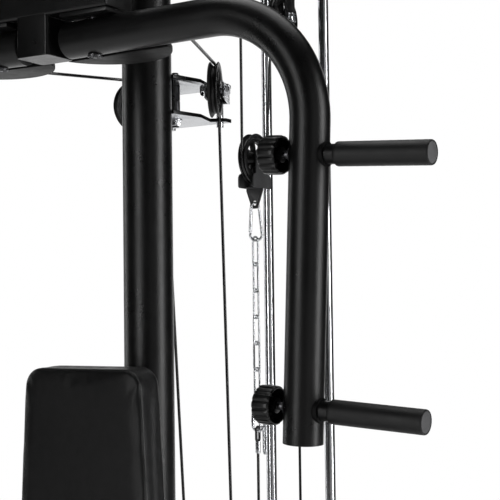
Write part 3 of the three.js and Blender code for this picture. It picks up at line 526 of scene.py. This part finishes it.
for x in (-29.2, 29.2):
    weld(f"press_weld_{'l' if x < 0 else 'r'}", [mm(x, -216.6, 1657.5), mm(x, -216.6, 1716.5)], 0.0016, "press_arm", None, int(x))
    weld(f"press_weld_low_{'l' if x < 0 else 'r'}", [mm(x, -270, 1656.6), mm(x, -221, 1656.6)], 0.0020, "press_arm", None, int(x) + 3)
    weld(f"press_weld_top_{'l' if x < 0 else 'r'}", [mm(x, -270, 1717.4), mm(x, -221, 1717.4)], 0.0020, "press_arm", None, int(x) + 5)

# ------------------------------------------------------------------ frame tubes carried over with rounded edges
for node, body, mat, w in (("top_boom", "frame", "paint", 0.0011), ("seat_frame", "frame", "paint", 0.0011), ("swivel_bracket", "frame", "plate", 0.0009),
                      ("base_pulley_bracket", "frame", "plate", 0.0009), ("pulley_block", "frame", "plate", 0.0009),
                      ("swivel_fork_right", "right_swivel", "zinc", 0.0006), ("swivel_fork_left", "left_swivel", "zinc", 0.0006),
                      ("leg_lever", "lever", "paint", 0.0011), ("head_plate", "lifted_stack", "iron", 0.0018), ("lower_plates", "frame", "iron", 0.0009),
                      ("weight_plate_1", "lifted_stack", "iron", 0.0018), ("weight_plate_2", "lifted_stack", "iron", 0.0018), ("weight_plate_3", "lifted_stack", "iron", 0.0018),
                      ("backrest_board", "frame", "board", 0.0015), ("seat_board", "frame", "board", 0.0015)):
    from_cad(node, node + "_shape", M[mat], body, w, 2, 38)

# painted light: the swivel bracket's downward faces alone get a light satin metal, a bright underside chosen by face
# direction
sb = bpy.data.objects["swivel_bracket_shape"]
sb.data.materials.append(M["satin"])
for p_ in sb.data.polygons:
    if p_.normal.z < -0.9: p_.material_index = 1

def tube_piece(name, node, p0, p1, w, h, up, body="frame", **kw):
    ob = finish_mesh(name, *rect_tube_data(p0, p1, w, h, up, **kw), M["paint"], body, "paint")
    if node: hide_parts(node)
    return ob
tube_piece("base_beam_tube", "base_beam", mm(0, -529.7, 30), mm(0, 462.7, 30), 0.060, 0.060, (0, 0, 1))
tube_piece("front_foot_tube", "front_foot_bar", mm(-230, -555, 25), mm(230, -555, 25), 0.050, 0.050, (0, 0, 1))
tube_piece("rear_foot_tube", "rear_foot_bar", mm(-330, 488, 30), mm(330, 488, 30), 0.050, 0.060, (0, 0, 1))
tube_piece("backrest_bracket_tube", "backrest_bracket", mm(0, -73.4, 620), mm(0, -73.4, 1060), 0.050, 0.068, (0, 1, 0))
def end_plug(name, p, axis, w, h, up, body="frame"):
    p = V(p); a = V(axis)
    finish_mesh(name, *rect_tube_data(p - a * 0.0005, p + a * 0.0035, w - 0.001, h - 0.001, up, 0.0055, 0.001, closed0=True, closed1=True, bev=0.0012), M["cap"], body, "plastic")
for i, (p, a, w, h) in enumerate(((mm(-230, -555, 25), (-1, 0, 0), .05, .05), (mm(230, -555, 25), (1, 0, 0), .05, .05), (mm(-330, 488, 30), (-1, 0, 0), .05, .06), (mm(330, 488, 30), (1, 0, 0), .05, .06))):
    end_plug(f"foot_plug_{i}", p, a, w, h, (0, 0, 1))
end_plug("boom_plug_front", mm(0, -460, 2070.3), (0, -1, 0), .06, .06, (0, 0, 1)); end_plug("boom_plug_rear", mm(0, 545, 2070.3), (0, 1, 0), .06, .06, (0, 0, 1))
end_plug("backrest_plug_top", mm(0, -73.4, 1060), (0, 0, 1), .05, .068, (0, 1, 0)); end_plug("backrest_plug_low", mm(0, -73.4, 620), (0, 0, -1), .05, .068, (0, 1, 0))

# ------------------------------------------------------------------ pulleys
def pulley(name, node, c, axis, body):
    c = V(c); axis = V(axis).normalized(); Q = axis_matrix(c, axis)
    rim = [(0.0352, -0.0040), (0.0375, -0.0070), (0.0440, -0.0078), (0.0450, -0.0068), (0.0446, -0.0058), (0.0405, -0.0030), (0.0388, -0.0017), (0.0384, 0), (0.0388, 0.0017), (0.0405, 0.0030), (0.0446, 0.0058), (0.0450, 0.0068), (0.0440, 0.0078), (0.0375, 0.0070), (0.0352, 0.0040), (0.0348, 0.0018), (0.0348, -0.0018), (0.0352, -0.0040)]
    hub = ring_profile(0.0082, 0.0150, -0.0095, 0.0095, 0.0009)
    parts = [lathe_data(rim, 72, Q), lathe_data(hub, 48, Q), lathe_data(ring_profile(0.0300, 0.0352, -0.0036, 0.0036, 0.0006), 72, Q)]
    for i in range(6):
        a = 2 * math.pi * (i + 0.25) / 6
        rm = Q @ Matrix.Rotation(a, 4, "Z")
        parts.append(rbox_data(0.0140, 0.0310, -0.0024, 0.0024, -0.0050, 0.0050, 0.0008, 2, rm))
    ob = finish_mesh(name, *merge(parts), M["plastic"], body, "plastic", 32)
    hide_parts(node)
    lathe(name + "_bearing", ring_profile(0.0060, 0.0081, -0.0098, 0.0098, 0.0004), c, axis, M["zinc"], body, "zinc", 32)
    return ob
FY = 0.245 + 0.0846
WHEELS = {"top_front_pulley": (0, -0.400, 1.950), "top_mid_pulley": (0, 0.245, 1.950), "top_rear_pulley": (0, 0.4417, 1.793), "floating_pulley": (0, FY, 1.517),
          "block_upper_pulley": (0, 0.181, 0.575), "block_lower_pulley": (0, 0.181, 0.470), "base_rear_pulley": (0, FY - 0.0423, 0.110), "base_mid_pulley": (0, 0.0964, 0.110), "low_front_pulley": (0, -0.578, 0.110)}
for n_, c in WHEELS.items():
    ax = (0, 1, 0) if n_ == "block_upper_pulley" else (1, 0, 0)
    pulley(n_ + "_detail", n_, c, ax, n_ + "_wheel")
    for q in (1, -1):
        a = V(ax) * q
        bolt(f"{n_}_{'bolt' if q > 0 else 'nut'}", V(c) + a * 0.0164, a, 0.017, 0.0068, "frame", "chrome", True, 0.0115)
SW = {"right": (V((0.066, 0.097, 1.602)), V((146, -309, 0)).normalized()), "left": (V((-0.074, 0.0834, 1.586)), V((-0.5, -math.sqrt(0.75), 0)))}
for side, (c, e) in SW.items():
    ax = V((-e.y, e.x, 0))
    pulley(f"swivel_pulley_{side}_detail", f"swivel_pulley_{side}", c, ax, f"swivel_pulley_{side}_wheel")
    for q in (1, -1):
        bolt(f"swivel_{side}_{'bolt' if q > 0 else 'nut'}", c + ax * q * 0.0164, ax * q, 0.015, 0.0060, f"{side}_swivel", "chrome", True, 0.0110)

# swivel bracket bolt with its split spacer
lathe("bracket_bolt", [(0, 1.548), (0.0045, 1.548), (0.0048, 1.549), (0.0048, 1.628), (0, 1.628)], (0, 0.079, 0), (0, 0, 1), M["zinc"], "frame", "zinc", 32)
lathe("bracket_spacer_low", ring_profile(0.0056, 0.0078, 1.5634, 1.5878, 0.0005), (0, 0.079, 0), (0, 0, 1), M["steel_dark"], "frame", "zinc", 40)
lathe("bracket_spacer_high", ring_profile(0.0056, 0.0078, 1.5884, 1.6136, 0.0005), (0, 0.079, 0), (0, 0, 1), M["steel_dark"], "frame", "zinc", 40)
bolt("bracket_head", (0, 0.079, 1.6202), (0, 0, 1), 0.016, 0.0085, "frame"); bolt("bracket_nut", (0, 0.079, 1.5568), (0, 0, -1), 0.016, 0.0085, "frame")

# ------------------------------------------------------------------ floating bracket, hooks and chain
def stadium(w, h, n=10):
    r = w / 2; pts = []
    for cy, a0 in ((h / 2 - r, 0), (-h / 2 + r, 180)):
        for i in range(n + 1):
            a = math.radians(a0 + 180 * i / n); pts.append((r * math.cos(a), cy + r * math.sin(a)))
    return pts
YZ = Matrix(((0, 0, 1, 0), (1, 0, 0, FY), (0, 1, 0, 0), (0, 0, 0, 1)))
XZ = Matrix(((1, 0, 0, 0), (0, 0, -1, FY), (0, 1, 0, 0), (0, 0, 0, 1)))
def rounded(pts, r, k=5):
    q = [V((x, y, 0)) for x, y in pts]; out = []
    for i in range(len(q)):
        out += bend3(q[i - 1], q[i], q[(i + 1) % len(q)], r[i] if isinstance(r, (list, tuple)) else r, k)
    return [(p.x, p.y) for p in out]
top_arc = [(0.0195 * math.cos(math.radians(20 + 140 * i / 16)), 1.5165 + 0.0195 * math.sin(math.radians(20 + 140 * i / 16))) for i in range(17)]
lower = rounded([(-0.031, 1.489), (-0.031, 1.463), (0.031, 1.463), (0.031, 1.489)], [0.010, 0.0045, 0.0045, 0.010])
fb = [poly_plate_data(top_arc + lower, a, b, YZ, 0.0005) for a, b in ((0.0133, 0.0163), (-0.0163, -0.0133))]
fb.append(rbox_data(-0.0150, 0.0150, FY - 0.0120, FY + 0.0120, 1.4630, 1.4660, 0.0007))
ob = finish_mesh("floating_cheeks", *merge(fb), M["bracket"], "frame", "zinc"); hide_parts("floating_bracket")
tb = finish_mesh("floating_tab", *poly_plate_data(rounded([(-0.017, 1.4645), (-0.017, 1.459), (-0.0058, 1.427), (0.0058, 1.427), (0.017, 1.459), (0.017, 1.4645)], [0.001, 0.004, 0.0045, 0.0045, 0.004, 0.001]), -0.0015, 0.0015, XZ, 0.0004), M["bracket"], "frame", "zinc")
def hole_cut(ob, c, r, axis, L=0.02):
    cv, cf = lathe_data([(0, -L), (r, -L), (r, L), (0, L)], 32, axis_matrix(c, axis))
    cutter = finish_mesh("cutter", cv, cf, None)
    md = ob.modifiers.new("cut", "BOOLEAN"); md.operation = "DIFFERENCE"; md.object = cutter; md.solver = "EXACT"
    dg = bpy.context.evaluated_depsgraph_get(); me = bpy.data.meshes.new_from_object(ob.evaluated_get(dg)); ob.modifiers.clear(); ob.data = me
    bpy.data.objects.remove(cutter)
hole_cut(tb, (0, FY, 1.4370), 0.0045, (0, 1, 0))

def loop_piece(name, w, h, r, centre, normal_yaw, body, mat, slot, n=12, gate=False):
    c = V(centre); t = V((math.cos(normal_yaw), math.sin(normal_yaw), 0))
    pts = [c + t * x + V((0, 0, z)) for x, z in stadium(w, h, n)]
    dense = []
    for a, b in zip(pts, pts[1:] + pts[:1]):
        k = max(1, int((b - a).length / 0.006)); dense += line(a, b, k)[:-1]
    v, f = sweep_data(dense, r, 14, V((-t.y, t.x, 0)))
    return finish_mesh(name, v, f, M[mat], body, slot, 60)
def carabiner(name, ztop, zbot, yaw, body, x=0.0, y=FY, wtop=0.021, wbot=0.013):
    t = V((math.cos(yaw), math.sin(yaw), 0)); c = V((x, y, 0)); r = 0.0024
    prof = []
    for i in range(13):
        a = math.radians(180 * i / 12); prof.append((wtop / 2 * math.cos(a), ztop - wtop / 2 + wtop / 2 * math.sin(a)))
    for i in range(13):
        a = math.radians(180 + 180 * i / 12); prof.append((wbot / 2 * math.cos(a) - (wtop - wbot) / 2 * 0.4, zbot + wbot / 2 + wbot / 2 * math.sin(a)))
    pts = [c + t * px + V((0, 0, pz)) for px, pz in prof]
    dense = []
    for a, b in zip(pts, pts[1:] + pts[:1]):
        k = max(1, int((b - a).length / 0.005)); dense += line(a, b, k)[:-1]
    v, f = sweep_data(dense, r, 14, V((-t.y, t.x, 0)))
    ob = finish_mesh(name, v, f, M["zinc"], body, "zinc", 60)
    g0 = c + t * (-wtop / 2 * 0.98) + V((0, 0, ztop - wtop * 0.62)); g1 = c + t * (-wbot / 2 - (wtop - wbot) * 0.2) + V((0, 0, zbot + wbot * 0.75))
    sweep(name + "_gate", line(g0, g1, 4), 0.0030, M["zinc"], body, "zinc", 16)
    return ob
YAW = math.radians(31); LINK = math.radians(-14)
car = carabiner("chain_hook_high", 1.4375, 1.3695, YAW, "frame", wtop=0.0135, wbot=0.021)
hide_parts("chain")
zt, pitch = 1.3735, 0.0470
zc = zt; i = 0
while zc - pitch > 1.085:
    loop_piece(f"chain_link_{i}", 0.0125, pitch + 0.0052, 0.0019, (0, FY, zc - pitch / 2), LINK + (math.pi / 2 if i % 2 else 0) + 0.12 * math.sin(i * 1.9), "frame", "zinc", "zinc")
    zc -= pitch; i += 1
carabiner("chain_hook_low", zc + 0.0035, zc - 0.0625, YAW + 0.25, "frame", wtop=0.0135, wbot=0.021)
zl = zc - 0.059
for j in range(2):
    loop_piece(f"chain_tail_{j}", 0.0125, pitch + 0.0052, 0.0019, (0.0075 + 0.003 * j, FY + 0.006, zc - 0.030 - j * pitch), YAW + (math.pi / 2 if j % 2 else 0) + 0.3, "frame", "zinc", "zinc")
# cable eye under the low hook
loop_piece("low_cable_eye", 0.0125, 0.026, 0.0024, (0, FY, zl - 0.009), YAW + 1.1, "frame", "sheath", "sheath")
lathe("low_cable_ferrule", [(0, -0.0005), (0.0042, 0), (0.0046, -0.002), (0.0046, -0.019), (0.0040, -0.0215), (0, -0.022)], (0, FY, zl - 0.0215), (0, 0, 1), M["zinc"], "frame", "zinc", 24)

# ------------------------------------------------------------------ cables
CR, WR = 0.0025, 0.0423
Yv, Xv = V((0, 1, 0)), V((1, 0, 0))
top = arc3((0, -0.400, 1.950), Yv, 180, 90, WR, 20) + arc3((0, 0.245, 1.950), Yv, 90, 0, WR, 20) + arc3((0, FY, 1.517), Yv, 180, 360, WR, 36) + arc3((0, 0.4417, 1.793), Yv, 180, 0, WR, 36)
ob = sweep("lat_cable_run", top, CR, M["sheath"], "frame", "sheath", 14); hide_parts("lat_cable")
lc = sweep("lat_cable_drop", line((0, -0.4423, 1.9500), (0, -0.4423, 1.8985), 6), CR, M["sheath"], None, "sheath", 14)
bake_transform(lc)
HZ = 0.0603 + 0.300
sc = sweep("stack_cable_drop", line((0, 0.484, 1.793), (0, 0.484, HZ + 0.062), 60), CR, M["sheath"], None, "sheath", 14)
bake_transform(sc)
lathe("stack_cable_ferrule", [(0, 0.046), (0.0085, 0.046), (0.0085, 0.060), (0.0048, 0.064), (0.0046, 0.084), (0.0036, 0.086), (0, 0.086)], (0, 0.484, HZ), (0, 0, 1), M["zinc"], "lifted_stack", "zinc", 32)
low = line((0, FY, zl - 0.040), (0, FY, 0.40), 8)[:-1] + arc3((0, FY - WR, 0.110), Yv, 0, -180, WR, 36) + arc3((0, 0.181, 0.470), Yv, 0, 180, WR, 36) + arc3((0, 0.0964, 0.110), Yv, 0, -90, WR, 20) + [V((0, -0.578, 0.0677)), V((0, -0.618, 0.0677))]
ob = sweep("low_cable_run", low, CR, M["sheath"], "frame", "sheath", 14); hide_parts("low_cable")
lathe("low_cable_stop", [(0, -0.636), (0.0035, -0.6355), (0.0078, -0.633), (0.0090, -0.629), (0.0090, -0.6235), (0.0078, -0.6195), (0.0035, -0.617), (0, -0.617)], (0, 0, 0.0677), (0, 1, 0), M["plastic"], "frame", "plastic", 32)

# the lead crosses the swivel, the press and the arm pivot: three stretches, baked in place and attached to no body
drops = {"right": V((0.0423, 0.181, 0.575)), "left": V((-0.0423, 0.181, 0.575))}
for side, (c, e) in SW.items():
    s = 1 if side == "right" else -1
    attach = V((s * 0.212, -0.214, 1.625)); topp = c + V((0, 0, WR)); downp = c - e * WR
    Pa = topp + (attach - topp) * 0.25; Pb = topp + (attach - topp) * 0.60
    for nm, a, b, b0, b1 in (("root", topp, Pa, f"{side}_swivel", "frame"), ("mid", Pa, Pb, "frame", "press_arm"), ("tip", Pb, attach, "press_arm", f"{side}_arm")):
        o = sweep(f"butterfly_cable_{nm}_{side}", line(a, b, 20), CR, M["sheath"], None, "sheath", 14)
        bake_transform(o)
    sweep(f"butterfly_cable_turn_{side}", arc3(c, e, 90, 180, WR, 20), CR, M["sheath"], f"{side}_swivel", "sheath", 14)
    o = sweep(f"butterfly_cable_drop_{side}", line(downp, drops[side], 80), CR, M["sheath"], None, "sheath", 14)
    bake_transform(o)
    hd = (Pb - attach).normalized()
    lathe(f"butterfly_ferrule_{side}", [(0, -0.006), (0.0046, -0.006), (0.0050, -0.004), (0.0050, 0.016), (0.0042, 0.018), (0, 0.018)], attach, hd, M["zinc"], f"{side}_arm", "zinc", 24)
ob = sweep("butterfly_cable_run", arc3((0, 0.181, 0.575), Xv, 0, -180, WR, 36), CR, M["sheath"], "frame", "sheath", 14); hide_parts("butterfly_cable")

# ------------------------------------------------------------------ guide rods and stack furniture
for side, s in (("right", 1), ("left", -1)):
    ob = lathe(f"guide_rod_{side}_bar", [(0, 0.0603), (0.0090, 0.0603), (0.00975, 0.0611), (0.00975, 2.0190), (0.0092, 2.0197), (0, 2.0197)], (s * 0.063, 0.486, 0), (0, 0, 1), M["chrome"], "frame", "chrome", 64)
    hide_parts(f"guide_rod_{side}")
    lathe(f"head_bush_{side}", ring_profile(0.0112, 0.0150, HZ + 0.045, HZ + 0.050, 0.0006), (s * 0.063, 0.486, 0), (0, 0, 1), M["plastic"], "lifted_stack", "plastic", 40)
    lathe(f"rod_collar_{side}", ring_profile(0.0100, 0.0180, 2.004, 2.0198, 0.001), (s * 0.063, 0.486, 0), (0, 0, 1), M["chrome"], "frame", "chrome", 40)
    bolt(f"rod_bolt_{side}", (s * 0.063, 0.486, 2.0404), (0, 0, 1), 0.017, 0.008, "frame")
from_cad("selector_stem", "selector_stem_shape", M["chrome"], "lifted_stack", 0)
px = 0.0603 + 0.225
ob = lathe("selector_pin_bar", [(0, -0.010), (0.0035, -0.010), (0.0045, -0.0085), (0.0045, 0.060), (0, 0.060)], (0, 0.484, px), (0, 1, 0), M["chrome"], "pin", "chrome", 32)
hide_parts("selector_pin")
lathe("selector_pin_knob", [(0, 0.0565), (0.0110, 0.0565), (0.0128, 0.0580), (0.0130, 0.0600), (0.0116, 0.0650), (0.0104, 0.0720), (0.0112, 0.0800), (0.0128, 0.0850), (0.0118, 0.0885), (0.0080, 0.0900), (0, 0.0902)], (0, 0.484, px), (0, 1, 0), M["plastic"], "pin", "plastic", 48)

# ------------------------------------------------------------------ lat bar
LY = -0.4423
p = line((-0.540, LY, 1.755), bend3((-0.540, LY, 1.755), (-0.330, LY, 1.850), (0, LY, 1.850), 0.070, 12)[0], 6)[:-1] + bend3((-0.540, LY, 1.755), (-0.330, LY, 1.850), (0, LY, 1.850), 0.070, 12) + bend3((0, LY, 1.850), (0.330, LY, 1.850), (0.540, LY, 1.755), 0.070, 12)
p += line(p[-1], (0.540, LY, 1.755), 6)[1:]
ob = sweep("lat_bar_tube", p, 0.0125, M["chrome"], "lat_handle", "chrome", 48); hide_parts("lat_bar")
for side, s in (("right", 1), ("left", -1)):
    a, b = V((s * 0.540, LY, 1.755)), V((s * 0.385, LY, 1.755 + 0.155 * 95 / 210))
    dirn = (b - a).normalized(); L = (b - a).length
    prof = [(0, 0.0005), (0.0110, 0.0005), (0.0128, 0.0015), (0.0140, 0.004)]
    prof += [(0.0146 + 0.0005 * math.cos(i * math.pi), 0.004 + (L - 0.012) * i / 46) for i in range(1, 47)] + [(0.0142, L - 0.004), (0.0128, L - 0.002), (0.0126, L)]
    lathe(f"lat_grip_{side}", prof, a, dirn, M["rubber"], "lat_handle", "rubber", 48, 60)
eye = finish_mesh("lat_bar_eye", *poly_plate_data([(-0.011, 1.858), (0.011, 1.858), (0.011, 1.890), (0.0075, 1.9005), (0, 1.9040), (-0.0075, 1.9005), (-0.011, 1.890)], -0.004, 0.004, Matrix(((0, 0, 1, 0), (1, 0, 0, LY), (0, 1, 0, 0), (0, 0, 0, 1))), 0.0006), M["chrome"], "lat_handle", "chrome")
hole_cut(eye, (0, LY, 1.8885), 0.0055, (1, 0, 0))
weld("lat_eye_weld", [V((0.0045, LY - 0.011, 1.8615)), V((0.0045, LY + 0.011, 1.8615))], 0.0016, "lat_handle"); 

# ------------------------------------------------------------------ leg lever rollers
for nm, y, z, par in (("knee", -0.640, 0.530, "frame"), ("ankle", -0.652, 0.150, "lever")):
    for side, s in (("right", 1), ("left", -1)):
        prof = [(0.0130, 0.0000), (0.0400, 0.0), (0.0440, 0.0010), (0.0462, 0.0040), (0.0470, 0.0085)]
        prof += [(0.0470 - 0.0006 * math.sin(math.pi * i / 12), 0.0085 + (0.1465 - 0.0085) * i / 12) for i in range(1, 12)]
        prof += [(0.0470, 0.1465), (0.0462, 0.1510), (0.0440, 0.1540), (0.0400, 0.1550), (0.0130, 0.1550), (0.0130, 0.0)]
        ob = lathe(f"{nm}_foam_{side}_cover", prof, (s * 0.050, y, z), (s, 0, 0), M["foam"], f"{nm}_foam_{side}", "rubber", 72, 50)
        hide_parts(f"{nm}_roller_{side}")
        lathe(f"{nm}_cap_{side}", [(0, 0.2150), (0.0100, 0.2150), (0.0185, 0.2140), (0.0200, 0.2120), (0.0200, 0.2075), (0.0127, 0.2070), (0.0127, 0.2052), (0, 0.2052)], (0, y, z), (s, 0, 0), M["cap"], par, "plastic", 48)
        lathe(f"{nm}_stop_ring_{side}", ring_profile(0.0127, 0.0190, 0.0440, 0.0492, 0.001), (0, y, z), (s, 0, 0), M["cap"], par, "plastic", 40)
for s in (1, -1):
    bolt(f"lever_bolt_{'right' if s > 0 else 'left'}", (s * 0.0296, -0.652, 0.455), (s, 0, 0), 0.019, 0.008, "frame", "chrome", True, 0.0145)
    bolt(f"press_bolt_{'right' if s > 0 else 'left'}", (s * 0.0345, -0.24525, 1.930), (s, 0, 0), 0.019, 0.0074, "frame", "chrome", True, 0.0145)
finish_mesh("lever_foot_plug", *rbox_data(-0.0215, 0.0215, -0.6765, -0.6275, 0.1085, 0.1120, 0.0012), M["cap"], "lever", "plastic")

# ------------------------------------------------------------------ pads
def taper_outline(w0, w1, h, r, k=10, inset=0.0):
    q = [V((-w0 / 2 + inset, inset, 0)), V((w0 / 2 - inset, inset, 0)), V((w1 / 2 - inset, h - inset, 0)), V((-w1 / 2 + inset, h - inset, 0))]
    out = []
    for i in range(4): out += bend3(q[i - 1], q[i], q[(i + 1) % 4], max(r - inset, 0.004), k)
    return [(p.x, p.y) for p in out]

def pad(name, node, w0, w1, h, t, r, place, cap_move, back_local, edge, body="frame"):
    """cushion: local x across, y along its length, z from the board (0) to the face (t)"""
    rings = []
    steps = [(0.0, 0.004), (0.004, 0.0005), (t - edge, 0.0)]
    for i in range(1, 6):
        a = math.radians(90 * i / 5); steps.append((t - edge + edge * math.sin(a), edge * (1 - math.cos(a))))
    verts, faces = [], []
    n = None
    for z, inset in steps:
        o = taper_outline(w0, w1, h, r, 10, inset); n = len(o)
        verts += [V((x, y, z)) for x, y in o]
    for i in range(len(steps) - 1):
        for j in range(n): faces.append((i * n + j, i * n + (j + 1) % n, (i + 1) * n + (j + 1) % n, (i + 1) * n + j))
    faces.append(tuple(range(n))[::-1]); faces.append(tuple((len(steps) - 1) * n + j for j in range(n)))
    ob = finish_mesh(name, verts, faces, M["vinyl"])
    bpy.context.view_layer.objects.active = ob
    md = ob.modifiers.new("remesh", "REMESH"); md.mode = "VOXEL"; md.voxel_size = 0.0045
    dg = bpy.context.evaluated_depsgraph_get(); me = bpy.data.meshes.new_from_object(ob.evaluated_get(dg)); ob.modifiers.clear(); ob.data = me
    rest = np.array([v.co for v in ob.data.vertices])
    vg = ob.vertex_groups.new(name="pin")
    vg.add([v.index for v in ob.data.vertices if v.co.z < 0.008], 1.0, "REPLACE")
    cl = ob.modifiers.new("cloth", "CLOTH"); st = cl.settings
    st.quality = 5; st.mass = 0.4; st.tension_stiffness = 22; st.compression_stiffness = 22; st.shear_stiffness = 12; st.bending_stiffness = 2.5
    st.use_pressure = True; st.uniform_pressure_force = 4.0; st.effector_weights.gravity = 0.0; st.vertex_group_mass = "pin"
    sc_ = bpy.context.scene; sc_.frame_start = 1; sc_.frame_end = 20
    cl.point_cache.frame_start = 1; cl.point_cache.frame_end = 20
    for fr in range(1, 21): sc_.frame_set(fr)
    dg = bpy.context.evaluated_depsgraph_get(); me = bpy.data.meshes.new_from_object(ob.evaluated_get(dg))
    new = np.array([v.co for v in me.vertices]); delta = new - rest; L = np.linalg.norm(delta, axis=1)
    lim = np.minimum(L, cap_move) / np.maximum(L, 1e-9)
    out = rest + delta * lim[:, None]
    out[:, 2] = np.clip(out[:, 2], 0.0, None)
    out[:, :2] = rest[:, :2] + np.clip(out[:, :2] - rest[:, :2], -0.0012, 0.0012)
    ob.modifiers.clear(); ob.data = me
    me.vertices.foreach_set("co", out.ravel()); me.update()
    sc_.frame_set(1)
    bm = bmesh.new(); bm.from_mesh(ob.data)
    for _ in range(1): bmesh.ops.smooth_vert(bm, verts=bm.verts, factor=0.5, use_axis_x=True, use_axis_y=True, use_axis_z=True)
    # sewn line along the front edge: a shallow groove
    path = taper_outline(w0, w1, h, r, 10, 0.0)
    P = np.array(path); seg = np.vstack([P, P[:1]])
    zc_ = t - edge * 1.05
    for v in bm.verts:
        dz = abs(v.co.z - zc_)
        if dz < 0.006 and v.co.z > 0.01:
            q = np.array([v.co.x, v.co.y]); c = np.array([0, h / 2]); dirn = c - q; dirn = dirn / max(np.linalg.norm(dirn), 1e-6)
            k = 0.0012 * math.exp(-(dz / 0.003) ** 2); v.co.x += dirn[0] * k; v.co.y += dirn[1] * k
    for f in bm.faces: f.smooth = True
    bm.to_mesh(ob.data); bm.free()
    md = ob.modifiers.new("sub", "SUBSURF"); md.levels = 1; md.render_levels = 1
    dg = bpy.context.evaluated_depsgraph_get(); me = bpy.data.meshes.new_from_object(ob.evaluated_get(dg)); ob.modifiers.clear(); ob.data = me
    me.materials.clear(); me.materials.append(M["vinyl"]); me.materials.append(M["painted_light_side"])
    for p in me.polygons:
        p.use_smooth = True
        # painted light: side faces below the seam get the lighter vinyl copy, brightening the pad's sides
        p.material_index = 1 if abs(p.normal.z) < 0.5 and p.center.z < zc_ else 0
    tree = BVHTree.FromObject(ob, bpy.context.evaluated_depsgraph_get())
    def welt(nm, z, rad_, mat, out=0.0):
        pts = []
        o = taper_outline(w0, w1, h, r, 14, 0.0)
        dense = []
        for a, b in zip(o, o[1:] + o[:1]):
            kk = max(1, int(math.dist(a, b) / 0.006)); dense += [(a[0] + (b[0] - a[0]) * i / kk, a[1] + (b[1] - a[1]) * i / kk) for i in range(kk)]
        for x, y in dense:
            c = V((0, min(max(y, w1 * 0.3), h - w1 * 0.3), z)); dirn = (V((x, y, z)) - c).normalized()
            hit = tree.ray_cast(c + dirn * 0.6, -dirn)
            pts.append(hit[0] + dirn * out if hit[0] is not None else V((x, y, z)))
        pts = [(pts[i - 1] + pts[i] * 2 + pts[(i + 1) % len(pts)]) / 4 for i in range(len(pts))]
        vv, ff = sweep_data(pts, rad_, 8, V((0, 0, 1)))
        w_ = finish_mesh(nm, [place @ x for x in vv], ff, M[mat], body, "vinyl", 60)
        return w_
    welt(name + "_seam", zc_, 0.0011, "piping", 0.0001)
    welt(name + "_back_edge", 0.006, 0.0013, "piping", 0.0000)
    me.transform(place); me.update()
    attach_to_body(ob, body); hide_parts(node)
    return ob

place_back = Matrix(((1, 0, 0, 0), (0, 0, -1, -0.122), (0, 1, 0, 0.540), (0, 0, 0, 1)))
pad("backrest_cushion", "backrest_pad", 0.2815, 0.2115, 0.6258, 0.0500, 0.029, place_back, 0.0022, None, 0.0050)
place_seat = Matrix(((-1, 0, 0, 0), (0, -1, 0, -0.178), (0, 0, 1, 0.4946), (0, 0, 0, 1)))
pad("seat_cushion", "seat_pad", 0.328, 0.263, 0.3835, 0.0500, 0.032, place_seat, 0.0055, None, 0.0075)

# ------------------------------------------------------------------ floor and light
bm = bmesh.new(); bmesh.ops.create_circle(bm, cap_ends=True, radius=4.6, segments=96)
me = bpy.data.meshes.new("floor"); bm.to_mesh(me); bm.free()
floor = bpy.data.objects.new("floor", me); bpy.context.scene.collection.objects.link(floor); floor.location = (0, 0, -0.0004)
m, nt, b = new_mat("floor_pale")
w = noise(nt, 3, 3); nt.links.new(ramp(nt, w, [(0.3, 0.78), (0.7, 0.84)]), b.inputs["Base Color"]); nt.links.new(ramp(nt, w, [(0.3, 0.5), (0.7, 0.62)]), b.inputs["Roughness"])
b.inputs["Emission Color"].default_value = (1, 1, 1, 1); b.inputs["Emission Strength"].default_value = 0.38
me.materials.append(m)

world = bpy.data.worlds.new("studio"); bpy.context.scene.world = world; world.use_nodes = True
nt = world.node_tree; nt.nodes.clear()
out = nt.nodes.new("ShaderNodeOutputWorld"); bg = nt.nodes.new("ShaderNodeBackground"); bg2 = nt.nodes.new("ShaderNodeBackground")
mix = nt.nodes.new("ShaderNodeMixShader"); lp = nt.nodes.new("ShaderNodeLightPath")
bg.inputs[0].default_value = (1, 1, 1, 1); bg.inputs[1].default_value = 0.012
bg2.inputs[0].default_value = (1, 1, 1, 1); bg2.inputs[1].default_value = 1.0
nt.links.new(lp.outputs["Is Camera Ray"], mix.inputs[0]); nt.links.new(bg.outputs[0], mix.inputs[1]); nt.links.new(bg2.outputs[0], mix.inputs[2]); nt.links.new(mix.outputs[0], out.inputs[0])
bpy.context.scene.view_settings.view_transform = "Standard"
bpy.context.scene.view_settings.look = "None"

def area(name, loc, target, sx, sy, power):
    l = bpy.data.lights.new(name, "AREA"); l.shape = "RECTANGLE"; l.size = sx; l.size_y = sy; l.energy = power
    o = bpy.data.objects.new(name, l); bpy.context.scene.collection.objects.link(o)
    o.location = loc; o.rotation_euler = (V(target) - V(loc)).to_track_quat("-Z", "Y").to_euler()
    return o
area("strip_left", (-0.50, -3.15, 1.50), (0, -0.1, 1.40), 0.26, 2.4, 30)
area("strip_far_left", (-3.1, 0.2, 1.5), (0, 0, 1.3), 0.5, 2.4, 14)
area("strip_right", (2.95, 0.35, 1.45), (0.1, -0.1, 1.35), 0.42, 2.4, 52)
area("card_right", (2.9, -2.0, 1.6), (0.1, 0, 1.3), 1.2, 2.4, 5)
area("back_wall", (-1.7, 3.3, 1.5), (0.0, 0.0, 1.3), 4.4, 3.4, 46)
area("top_soft", (0.0, 0.3, 3.7), (0, 0, 0.8), 2.4, 2.0, 30)
